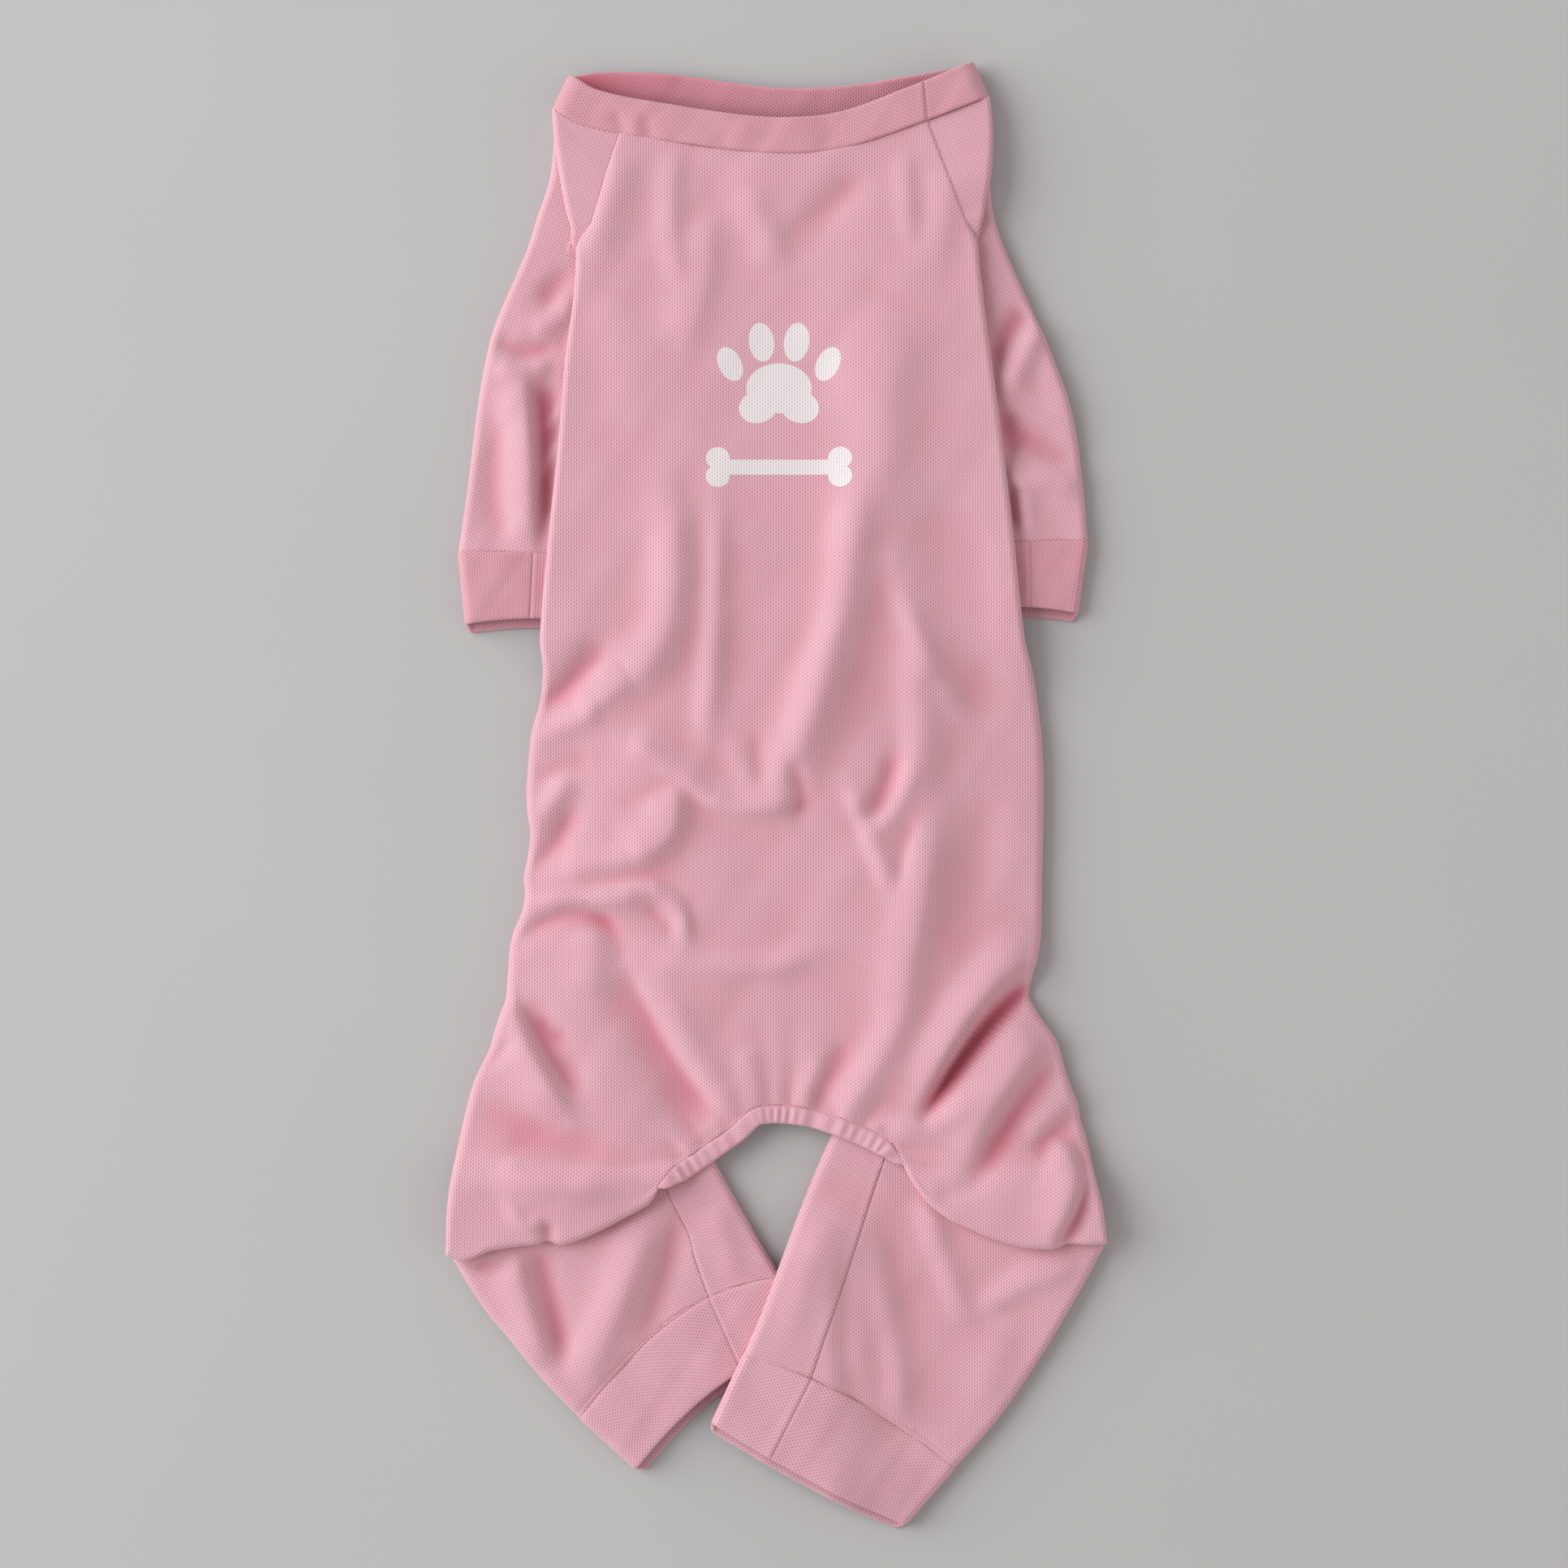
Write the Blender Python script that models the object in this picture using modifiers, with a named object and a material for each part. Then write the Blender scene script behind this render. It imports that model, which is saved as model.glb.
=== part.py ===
"""A dog's jumpsuit of knitted mesh, laid flat on its belly with the neck at +Y. Metres, +Z up.

The body is a flattened tube: a back panel that rolls round both side folds to seams on the underside, and
a flat belly panel. Raglan sleeves come out from under the shoulders, the thighs fold back over the lower
hind legs, and the right lower leg crosses over the left cuff. Every piece is a hollow wall of cloth.

Places are shares of two named sizes: "across" counts half chest widths from the middle of the back, and
"along" counts back lengths from the neck seam towards the rump.
"""

import math

import bmesh
import bpy
from mathutils import Vector

# Sizes of the cut
BACK_LENGTH = 0.478
CHEST_HALF = 0.116
NECKBAND_HEIGHT = 0.0172
FRONT_CUFF_HEIGHT = 0.036
HIND_CUFF_HEIGHT = 0.037
CASING_HEIGHT = 0.0088

# Walls and the clearance between sewn edges
CLOTH = 0.0012
BAND_WALL = 0.0020
CASING_WALL = 0.0024
SEAM_GAP = 0.0005
LAY_GAP = 0.0006

# How high the flattened tubes stand, between the middles of their two walls
SLEEVE_LOFT = 0.0070
CUFF_LOFT = 0.0070
LEG_LOFT = 0.0076
NECK_LOFT = 0.0118
SIDE_LOFT = 0.0076
SHOULDER_LOFT = 0.0060
THIGH_LOFT = 0.0066
CROWN_LOFT = 0.0130
HEM_HEIGHT = 0.0088

# Levels of the layers that lie on one another
FLOOR_LAYER = CLOTH / 2
SLEEVE_TOP = FLOOR_LAYER + SLEEVE_LOFT
CUFF_TOP = BAND_WALL + CUFF_LOFT
OVER_CUFF = max(CUFF_TOP, SLEEVE_TOP + CLOTH / 2) + LAY_GAP + CLOTH / 2
OVER_LEG = FLOOR_LAYER + LEG_LOFT + CLOTH + LAY_GAP
CROSSING_LIFT = CUFF_TOP + LAY_GAP
THIGH_RETURN = 0.016

# How finely each piece is divided
BACK_COLUMNS = 24
BACK_ROWS = 33
ROLL_STEPS = 4
CORNER_STEPS = 2
RETURN_SHARES = (0.38, 0.75, 0.87, 1.0)

# Side outline of the body: along, across at the left, across at the right
BODY_SIDES = (
    (-0.055, -0.950, 0.891),
    (-0.030, -0.950, 0.905),
    (0.007, -0.936, 0.906),
    (0.046, -0.905, 0.888),
    (0.092, -0.856, 0.850),
    (0.140, -0.860, 0.864),
    (0.220, -0.902, 0.906),
    (0.300, -0.929, 0.950),
    (0.400, -0.971, 0.998),
    (0.500, -1.005, 1.043),
    (0.535, -0.995, 1.078),
    (0.600, -1.040, 1.116),
    (0.650, -1.066, 1.124),
    (0.700, -1.050, 1.122),
    (0.745, -1.078, 1.119),
    (0.772, -1.068, 1.118),
    (0.805, -1.126, 1.112),
    (0.846, -1.143, 1.076),
    (0.880, -1.162, 1.090),
    (0.915, -1.210, 1.176),
    (0.963, -1.298, 1.245),
    (1.022, -1.356, 1.316),
    (1.080, -1.396, 1.372),
    (1.140, -1.412, 1.409),
)

# Seams on the underside where the back panel meets the belly panel: along, left across, right across
UNDER_SEAMS = (
    (-0.050, -0.546, 0.530),
    (0.176, -0.552, 0.552),
    (0.250, -0.500, 0.500),
    (0.500, -0.500, 0.510),
    (0.600, -0.560, 0.600),
    (0.846, -0.620, 0.640),
    (0.930, -0.747, 0.760),
    (1.005, -0.891, 0.900),
    (1.065, -1.040, 1.040),
)

# Raglan seams on the back: along, left across, right across, until they reach the side folds
RAGLAN = (
    (-0.030, -0.640, 0.630),
    (0.006, -0.694, 0.685),
    (0.050, -0.750, 0.752),
    (0.078, -0.784, 0.798),
    (0.108, -0.835, 0.842),
)
UNDERARM = 0.176

# Neck seam: share of its half width, along on the back, along on the underside
NECK_SEAM = (
    (-1.00, -0.042, -0.042),
    (-0.86, -0.025, -0.046),
    (-0.50, -0.010, -0.043),
    (0.00, 0.003, -0.030),
    (0.33, -0.002, -0.031),
    (0.70, -0.029, -0.042),
    (1.00, -0.055, -0.055),
)
NECK_MIDDLE = -0.030
NECK_HALF = 0.920

# Lower edge of the thighs and rump: share of the half width, along beyond one back length
LOWER_EDGE = (
    (-1.000, 0.135),
    (-0.950, 0.140),
    (-0.870, 0.128),
    (-0.730, 0.121),
    (-0.640, 0.120),
    (-0.485, 0.097),
    (-0.290, 0.059),
    (-0.130, 0.023),
    (-0.050, 0.002),
    (0.010, -0.001),
    (0.126, 0.005),
    (0.297, 0.028),
    (0.420, 0.060),
    (0.480, 0.083),
    (0.560, 0.100),
    (0.740, 0.122),
    (0.860, 0.124),
    (1.000, 0.122),
)
CASING_ENDS = (-0.400, 0.430)
CASING_TAPER = 0.090

# Heights of the top wall above its lower layer: along, left edge, right edge, lower layer at the edges
# (0 on the floor, 1 over a sleeve or leg)
BODY_HEIGHTS = (
    (-0.055, 1.00, 1.00, 0.0),
    (0.050, 0.95, 0.95, 0.6),
    (0.120, 0.85, 0.85, 1.0),
    (0.480, 0.85, 0.85, 1.0),
    (0.590, 1.00, 1.00, 0.0),
    (1.005, 1.05, 1.05, 0.0),
    (1.070, 0.95, 0.95, 1.0),
    (1.140, 0.90, 0.90, 1.0),
)

# Main folds of the back: from across, from along, to across, to along, height in crown lofts (a valley is
# negative), half width on the left and on the right of the line in half chest widths
FOLDS = (
    (-0.39, 0.02, -0.45, 0.16, -0.10, 0.07, 0.10),
    (0.06, 0.02, 0.06, 0.12, -0.12, 0.16, 0.16),
    (-0.75, 0.13, -0.51, 0.22, 0.12, 0.07, 0.09),
    (-0.41, 0.14, -0.28, 0.08, -0.10, 0.08, 0.08),
    (0.56, 0.18, 0.44, 0.29, -0.10, 0.10, 0.10),
    (0.44, 0.29, 0.60, 0.46, -0.12, 0.12, 0.08),
    (-0.49, 0.38, -0.66, 0.54, 0.14, 0.08, 0.07),
    (-0.42, 0.40, -0.55, 0.49, -0.14, 0.06, 0.06),
    (-0.30, 0.47, -0.26, 0.58, 0.12, 0.07, 0.06),
    (-0.24, 0.41, -0.23, 0.54, -0.12, 0.05, 0.06),
    (0.27, 0.40, -0.02, 0.64, 0.22, 0.16, 0.10),
    (0.30, 0.47, 0.19, 0.60, -0.14, 0.07, 0.07),
    (-0.09, 0.53, -0.05, 0.64, -0.12, 0.07, 0.06),
    (-0.30, 0.64, 0.10, 0.67, -0.12, 0.06, 0.06),
    (0.46, 0.54, 0.62, 0.64, 0.10, 0.06, 0.07),
    (0.37, 0.67, 0.48, 0.61, -0.12, 0.05, 0.05),
    (-1.01, 0.57, -0.78, 0.51, -0.16, 0.05, 0.05),
    (-1.04, 0.64, -0.78, 0.62, -0.14, 0.05, 0.05),
    (-0.36, 0.68, -0.75, 0.75, -0.16, 0.07, 0.07),
    (-1.04, 0.755, -0.55, 0.750, 0.16, 0.04, 0.05),
    (-0.55, 0.745, -0.38, 0.81, -0.16, 0.06, 0.04),
    (-1.04, 0.785, -0.61, 0.785, -0.16, 0.05, 0.05),
    (-0.40, 0.84, 0.19, 0.825, -0.10, 0.06, 0.06),
    (-1.13, 0.87, -0.90, 0.955, -0.28, 0.06, 0.08),
    (-0.86, 0.94, -0.65, 0.97, -0.16, 0.09, 0.09),
    (-0.57, 0.86, -0.25, 0.99, -0.14, 0.08, 0.08),
    (-1.29, 0.98, -0.98, 1.02, -0.18, 0.06, 0.06),
    (-1.10, 0.91, -1.06, 0.97, 0.14, 0.08, 0.08),
    (-1.14, 1.06, -1.05, 1.09, 0.16, 0.08, 0.08),
    (1.08, 0.845, 0.62, 0.98, -0.34, 0.07, 0.08),
    (0.98, 0.900, 0.68, 0.985, 0.18, 0.05, 0.06),
    (1.15, 0.94, 0.78, 1.05, -0.18, 0.06, 0.06),
    (1.27, 0.99, 1.09, 1.03, -0.18, 0.06, 0.06),
    (1.23, 1.06, 1.15, 1.12, -0.26, 0.07, 0.06),
    (0.50, 0.81, 0.20, 0.98, 0.16, 0.10, 0.10),
    (0.60, 0.83, 0.24, 0.965, -0.14, 0.08, 0.06),
    (0.63, 0.70, 0.52, 0.84, 0.12, 0.08, 0.08),
)

# Left and right sleeve, from the neck seam to the cuff. Places are (across, along): the raglan seam, the
# fold of the shoulder, the tuck under it, the outer edge, and the seam or edge underneath. "under" and
# "over" are levels of the sleeve's top wall and of the shoulder's return, in shares of their full rise.
SLEEVES = {
    "left": (
        ((-0.664, -0.017), (-0.950, -0.041), (-0.944, -0.041), (-0.950, -0.041), (-0.548, -0.044), 0.66, 0.90),
        ((-0.712, 0.018), (-0.940, -0.008), (-0.930, -0.008), (-0.946, -0.006), (-0.550, 0.020), 0.85, 0.96),
        ((-0.750, 0.048), (-0.915, 0.030), (-0.890, 0.030), (-0.968, 0.032), (-0.552, 0.055), 1.00, 0.98),
        ((-0.784, 0.076), (-0.890, 0.062), (-0.850, 0.062), (-1.015, 0.066), (-0.554, 0.090), 1.00, 1.00),
        ((-0.813, 0.085), (-0.872, 0.078), (-0.825, 0.080), (-1.042, 0.088), (-0.556, 0.110), 1.00, 1.00),
        ((-0.800, 0.106), None, None, (-1.080, 0.113), (-0.557, 0.138), 1.00, 1.00),
        ((-0.575, 0.176), None, None, (-1.192, 0.176), None, 1.00, 1.00),
        ((-0.633, 0.222), None, None, (-1.238, 0.218), None, 1.00, 1.00),
        ((-0.657, 0.276), None, None, (-1.272, 0.268), None, 1.00, 1.00),
        ((-0.664, 0.343), None, None, (-1.308, 0.340), None, 1.00, 1.00),
        ((-0.657, 0.415), None, None, (-1.350, 0.411), None, 1.00, 1.00),
    ),
    "right": (
        ((0.638, -0.030), (0.891, -0.054), (0.885, -0.054), (0.891, -0.054), (0.530, -0.040), 0.66, 0.90),
        ((0.688, 0.006), (0.904, -0.018), (0.894, -0.018), (0.902, -0.016), (0.540, 0.015), 0.85, 0.96),
        ((0.736, 0.038), (0.898, 0.022), (0.870, 0.022), (0.893, 0.022), (0.546, 0.050), 1.00, 0.98),
        ((0.780, 0.062), (0.874, 0.052), (0.835, 0.053), (0.902, 0.054), (0.550, 0.076), 1.00, 1.00),
        ((0.808, 0.080), (0.860, 0.072), (0.815, 0.074), (0.925, 0.078), (0.552, 0.100), 1.00, 1.00),
        ((0.780, 0.106), None, None, (0.972, 0.108), (0.554, 0.128), 1.00, 1.00),
        ((0.572, 0.164), None, None, (1.078, 0.165), None, 1.00, 1.00),
        ((0.625, 0.208), None, None, (1.152, 0.205), None, 1.00, 1.00),
        ((0.647, 0.268), None, None, (1.240, 0.265), None, 1.00, 1.00),
        ((0.660, 0.335), None, None, (1.284, 0.332), None, 1.00, 1.00),
        ((0.660, 0.402), None, None, (1.309, 0.400), None, 1.00, 1.00),
    ),
}

# Front cuffs: the two ends of the seam line and the way each end of the band runs
FRONT_CUFFS = {
    "left": ((-0.657, 0.415), (-1.350, 0.411), (0.00, -1.0), (0.10, -1.0)),
    "right": ((0.660, 0.402), (1.309, 0.400), (0.00, -1.0), (-0.14, -1.0)),
}

# Lower hind legs, from under the thigh to the cuff seam: inner edge, outer edge, bow of the line between
# them (across, along)
HIND_LEGS = {
    "left": (
        ((-0.322, 1.010), (-1.290, 1.085), (0.00, 0.000)),
        ((-0.257, 1.045), (-1.372, 1.128), (0.00, 0.000)),
        ((-0.196, 1.072), (-1.345, 1.150), (0.00, -0.003)),
        ((-0.133, 1.099), (-1.236, 1.191), (0.00, -0.010)),
        ((-0.070, 1.126), (-1.150, 1.216), (0.00, -0.018)),
        ((-0.012, 1.148), (-1.000, 1.260), (0.00, -0.026)),
        ((0.012, 1.158), (-0.836, 1.302), (0.00, -0.034)),
    ),
    "right": (
        ((0.281, 0.990), (1.290, 1.072), (0.00, 0.000)),
        ((0.219, 1.018), (1.375, 1.116), (0.00, 0.000)),
        ((0.120, 1.074), (1.343, 1.141), (0.00, 0.000)),
        ((0.040, 1.124), (1.212, 1.198), (0.00, 0.000)),
        ((-0.030, 1.170), (1.090, 1.246), (0.00, -0.004)),
        ((-0.085, 1.204), (0.930, 1.302), (0.00, -0.010)),
        ((-0.140, 1.234), (0.747, 1.353), (0.00, -0.015)),
    ),
}

# Hind cuffs: way the inner and the outer end of the band run, and the bow of the free edge
HIND_CUFFS = {
    "left": ((0.42, -0.91), (0.74, -0.67), (0.00, -0.026)),
    "right": ((-0.39, -0.84), (-0.66, -0.75), (0.00, 0.004)),
}

# The belly panel's edge towards the rump and legs: share of its width, along
GROIN_EDGE = (
    (0.00, 1.062),
    (0.18, 1.033),
    (0.33, 1.005),
    (0.40, 0.976),
    (0.49, 0.963),
    (0.58, 0.966),
    (0.65, 0.984),
    (0.82, 1.014),
    (1.00, 1.045),
)


def smooth_step(value):
    value = min(max(value, 0.0), 1.0)
    return value * value * (3 - 2 * value)


def read_table(rows, place):
    """The other columns of a table at a place between its rows, on a curve that is smooth through each row."""
    last = len(rows) - 1
    i = 0
    while i < last - 1 and place > rows[i + 1][0]:
        i += 1
    here, there = rows[i], rows[i + 1]
    before, after = rows[max(i - 1, 0)], rows[min(i + 2, last)]
    span = there[0] - here[0]
    t = min(max((place - here[0]) / span, 0.0), 1.0)
    values = []
    for column in range(1, len(here)):
        leaving = (there[column] - before[column]) / (there[0] - before[0]) * span
        arriving = (after[column] - here[column]) / (after[0] - here[0]) * span
        values.append(
            here[column] * (1 + 2 * t) * (1 - t) ** 2
            + leaving * t * (1 - t) ** 2
            + there[column] * t * t * (3 - 2 * t)
            + arriving * t * t * (t - 1)
        )
    return values


def place_at(across, along, height=0.0):
    """A point from its shares of the chest and the back, and its height in metres."""
    return Vector((across * CHEST_HALF, -along * BACK_LENGTH, height))


def fold_line_height(fold, across, along):
    """Height that one fold adds at a place, in crown lofts."""
    from_across, from_along, to_across, to_along, height, left_width, right_width = fold
    start = Vector((from_across * CHEST_HALF, -from_along * BACK_LENGTH))
    run = Vector((to_across * CHEST_HALF, -to_along * BACK_LENGTH)) - start
    offset = Vector((across * CHEST_HALF, -along * BACK_LENGTH)) - start
    share = offset.dot(run) / run.length_squared
    beyond = (share - min(max(share, 0.0), 1.0)) * run.length
    side = run.x * offset.y - run.y * offset.x
    width = (left_width if side > 0 else right_width) * CHEST_HALF
    distance = math.hypot(side / run.length, beyond)
    return height * math.exp(-((distance / width) ** 2))


def layer_level(along):
    """Level of the body's lower layer at its side folds: on the floor, or over a sleeve or a leg."""
    rise = smooth_step(read_table(BODY_HEIGHTS, along)[2])
    over = OVER_CUFF if along < 0.8 else OVER_LEG
    return FLOOR_LAYER + (over - FLOOR_LAYER) * rise


def top_height(across, along):
    """Height of the middle of the top wall."""
    left, right = read_table(BODY_SIDES, along)
    left_share, right_share, _ = read_table(BODY_HEIGHTS, along)
    spread = min(max(2 * (across - left) / (right - left) - 1, -1.0), 1.0)
    edge_share = left_share if spread < 0 else right_share
    if along < 0.0:
        loft = NECK_LOFT
    else:
        over_sleeve = smooth_step((along / 0.10)) * (1 - smooth_step((along - 0.48) / 0.12))
        over_leg = smooth_step((along - 1.02) / 0.10)
        loft = SIDE_LOFT + (SHOULDER_LOFT - SIDE_LOFT) * over_sleeve + (THIGH_LOFT - SIDE_LOFT) * over_leg
        loft += (NECK_LOFT - loft) * (1 - smooth_step(along / 0.08))
    edge = layer_level(along) + loft * edge_share
    crown = FLOOR_LAYER + CROWN_LOFT
    towards_hem = smooth_step((along - 0.80) / 0.20) * (1 - smooth_step(abs(across) / 0.75))
    crown += (HEM_HEIGHT - crown) * towards_hem
    crown = max(crown, edge) if along > 1.02 else crown
    height = crown + (edge - crown) * abs(spread) ** 3
    inner = 1 - abs(spread) ** 10
    for fold in FOLDS:
        height += CROWN_LOFT * inner * fold_line_height(fold, across, along)
    return height


def casing_share(spread):
    """Height of the elastic casing at a place across the rump, as a share of its full height."""
    from_left = smooth_step((spread - CASING_ENDS[0]) / CASING_TAPER)
    from_right = smooth_step((CASING_ENDS[1] - spread) / CASING_TAPER)
    return from_left * from_right


def back_row_along(spread, row):
    """Along the back on one row of the panel, before any inset."""
    neck_fade = 1 - smooth_step(row / 0.25)
    rump_fade = smooth_step((row - 0.60) / 0.40)
    across = spread * (0.66 + 0.30 * smooth_step(row / 0.3))
    neck_shape = read_table(NECK_SEAM, (across - NECK_MIDDLE) / NECK_HALF)[0] - NECK_SEAM[3][1]
    rump_shape = read_table(LOWER_EDGE, spread)[0]
    return row + NECK_SEAM[3][1] * (1 - row) + neck_fade * neck_shape + rump_fade * rump_shape


def back_place(spread, row):
    """(across, along) of the top wall of the back panel, inside its rolled edges."""
    along = back_row_along(spread, row)
    along += smooth_step((row - 0.90) / 0.10) * casing_share(spread) * (-CASING_HEIGHT / BACK_LENGTH)
    along -= smooth_step((row - 0.90) / 0.10) * (1 - casing_share(spread)) * THIGH_LOFT / 2 / BACK_LENGTH
    ends = []
    for side, sign in ((0, -1), (1, 1)):
        end_along = back_row_along(sign, row)
        outline = read_table(BODY_SIDES, end_along)[side]
        if end_along < RAGLAN[-1][0]:
            ends.append(read_table(RAGLAN, end_along)[side] - sign * SEAM_GAP / 2 / CHEST_HALF)
        else:
            roll = edge_roll_radius(outline, end_along)
            ends.append(outline - sign * (roll + CLOTH / 2) / CHEST_HALF)
    return ends[0] + (ends[1] - ends[0]) * (spread + 1) / 2, along


def edge_roll_radius(across, along):
    return max((top_height(across, along) - layer_level(along)) / 2, CLOTH)


def grid(bm, columns, rows, place):
    """A sheet of columns by rows quads, each corner moved to place(column, row)."""
    made = bmesh.ops.create_grid(bm, x_segments=columns, y_segments=rows, size=0.5)
    for vert in made["verts"]:
        column = round((vert.co.x + 0.5) * columns)
        row = round((vert.co.y + 0.5) * rows)
        vert.co = place(column, row)


def cloth_object(name, bm, wall, colour, parts):
    """Closes a sheet into one wall of cloth, centred on the sheet, and adds it to the collection."""
    bmesh.ops.remove_doubles(bm, verts=bm.verts, dist=wall / 40)
    bmesh.ops.dissolve_degenerate(bm, edges=bm.edges, dist=wall / 60)
    bmesh.ops.recalc_face_normals(bm, faces=bm.faces)
    mesh = bpy.data.meshes.new(name)
    bm.to_mesh(mesh)
    bm.free()
    mesh.shade_smooth()
    material = bpy.data.materials.new(name)
    material.use_nodes = True
    shader = material.node_tree.nodes["Principled BSDF"]
    shader.inputs["Base Color"].default_value = (*colour, 1.0)
    shader.inputs["Roughness"].default_value = 0.85
    shader.inputs["Metallic"].default_value = 0.0
    mesh.materials.append(material)
    piece = bpy.data.objects.new(name, mesh)
    parts.objects.link(piece)
    solidify = piece.modifiers.new("Cloth wall", "SOLIDIFY")
    solidify.thickness = wall
    solidify.offset = 0.0
    return piece


def rounded_path(corners, radius, corner_steps, straight_steps):
    """Points along a path whose corners are rounded. straight_steps gives the divisions of each straight."""
    points = [corners[0].copy()]
    for i in range(1, len(corners) - 1):
        corner = corners[i]
        to_before, to_after = corners[i - 1] - corner, corners[i + 1] - corner
        reach = min(radius, to_before.length * 0.5, to_after.length * 0.5)
        start = corner + to_before.normalized() * reach if to_before.length > 0 else corner.copy()
        end = corner + to_after.normalized() * reach if to_after.length > 0 else corner.copy()
        steps = straight_steps[i - 1]
        last = points[-1]
        points += [last.lerp(start, k / steps) for k in range(1, steps)]
        for k in range(corner_steps + 1):
            t = k / corner_steps
            # A rounded corner between two tangents, close to a circle's arc
            weight = math.sqrt(0.5)
            blend = (1 - t) ** 2 + 2 * weight * t * (1 - t) + t * t
            curved = start * (1 - t) ** 2 + corner * 2 * weight * t * (1 - t) + end * t * t
            points.append(curved / blend)
    steps = straight_steps[-1]
    last = points[-1]
    points += [last.lerp(corners[-1], k / steps) for k in range(1, steps + 1)]
    return points


def between_stations(stations, place):
    """Corner points at a place between stations, on smooth curves through each station's points."""
    count = len(stations[0])
    tables = []
    for corner in range(count):
        tables.append([(i, *stations[i][corner]) for i in range(len(stations))])
    return [Vector(read_table(table, place)) for table in tables]


def flat_tube_loop(inner, outer, low, high, bow, across_steps, lift=None):
    """Closed loop round a flattened tube: over the top from its inner edge to its outer one, and back below.

    inner and outer are points in plan, and bow moves the middle of the line between them.
    """
    radius = (high - low) / 2
    run = outer - inner
    edge = min(radius / run.length, 0.5)
    shares = [edge * (1 - math.cos(math.pi / 2 * k / CORNER_STEPS)) for k in range(CORNER_STEPS)]
    shares += [edge + (1 - 2 * edge) * k / across_steps for k in range(across_steps + 1)]
    shares += [1 - share for share in reversed(shares[:CORNER_STEPS])]
    points = []
    for sign in (1, -1):
        for share in shares[:-1] if sign > 0 else list(reversed(shares))[:-1]:
            inward = min(share, 1 - share)
            rise = math.sqrt(max(1 - (1 - min(inward / edge, 1.0)) ** 2, 0.0))
            point = inner + run * share + bow * (4 * share * (1 - share))
            point.z = (low + high) / 2 + sign * radius * rise
            points.append(point)
    points.append(points[0].copy())
    if lift:
        for point in points:
            point.z += lift(point)
    return points


def loft(bm, loops):
    """A sheet through loops of equally many points."""
    grid(bm, len(loops[0]) - 1, len(loops) - 1, lambda column, row: loops[row][column])


def neck_seam_y(point):
    """Where the neck seam runs at a point's place across, between the back's seam and the underside's."""
    share = (point.x / CHEST_HALF - NECK_MIDDLE) / NECK_HALF
    on_back, on_underside = read_table(NECK_SEAM, min(max(share, -1.0), 1.0))
    rise = smooth_step((point.z - FLOOR_LAYER) / NECK_LOFT)
    return -BACK_LENGTH * (on_underside + (on_back - on_underside) * rise)


def panel_spread(column):
    """Share of the half width at a column of the back panel, with the columns closer at the side folds."""
    even = 2 * column / BACK_COLUMNS - 1
    return even * (1.10 - 0.10 * even * even)


def top_point(column, row):
    """A corner of the back panel's top wall."""
    across, along = back_place(panel_spread(column), row / BACK_ROWS)
    point = place_at(across, along, top_height(across, along))
    if row == 0:
        point.y = neck_seam_y(point) - SEAM_GAP / 2
    return point


def make_back_panel(parts, colour):
    """The top wall, its rolled side folds down to the underside seams, and the thighs' folded lower edge."""
    bm = bmesh.new()
    grid(bm, BACK_COLUMNS, BACK_ROWS, top_point)

    # The panel's free edge as a chain: down the left side, along the thighs and rump, up the right side
    chain = [(0, row) for row in range(BACK_ROWS)]
    chain += [(column, BACK_ROWS) for column in range(BACK_COLUMNS + 1)]
    chain += [(BACK_COLUMNS, row) for row in range(BACK_ROWS - 1, -1, -1)]

    def rim_point(column, step):
        edge_column, edge_row = chain[column]
        start = top_point(edge_column, edge_row)
        along = -start.y / BACK_LENGTH
        spread = panel_spread(edge_column)
        row_share = edge_row / BACK_ROWS
        tip = smooth_step((row_share - 0.90) / 0.10) * smooth_step((abs(spread) - 0.72) / 0.28)
        if edge_row == BACK_ROWS:
            turn = 0.5 * tip
        else:
            turn = 1 - 0.5 * tip
        side_sign = -1 if spread < 0 else 1
        outward = Vector((side_sign * turn, turn - 1, 0.0)).normalized()
        if edge_row == BACK_ROWS:
            level = OVER_LEG
            rolled = max(1 - 2.4 * casing_share(spread), 0.0)
            reach = THIGH_RETURN
            end_level = level
        else:
            level = layer_level(along)
            side = 0 if side_sign < 0 else 1
            seam = read_table(UNDER_SEAMS, along)[side] * CHEST_HALF
            reach = abs(start.x - seam) - SEAM_GAP
            reach += (THIGH_RETURN - reach) * smooth_step((row_share - 0.90) / 0.10)
            unrolled = smooth_step((along - RAGLAN[-1][0]) / (UNDERARM - RAGLAN[-1][0]))
            reach *= unrolled
            rolled = 1.0 if along > RAGLAN[-1][0] else 0.0
            sinks = smooth_step((along - UNDERARM) / 0.07) * (1 - smooth_step((along - 1.0) / 0.08))
            end_level = level + (FLOOR_LAYER - level) * sinks
        radius = max((start.z - level) / 2, 0.0) * rolled
        if step <= ROLL_STEPS:
            angle = math.pi * step / ROLL_STEPS
            moved = start + outward * radius * math.sin(angle)
            moved.z = start.z - radius * (1 - math.cos(angle))
            return moved
        share = RETURN_SHARES[step - ROLL_STEPS - 1]
        moved = start - outward * reach * share * rolled
        sunk = smooth_step((share - RETURN_SHARES[1]) / (1 - RETURN_SHARES[1]))
        moved.z = start.z - 2 * radius + (end_level - level) * sunk * rolled
        return moved

    grid(bm, len(chain) - 1, ROLL_STEPS + len(RETURN_SHARES), rim_point)
    return cloth_object("back_panel", bm, CLOTH, colour, parts)


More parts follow.
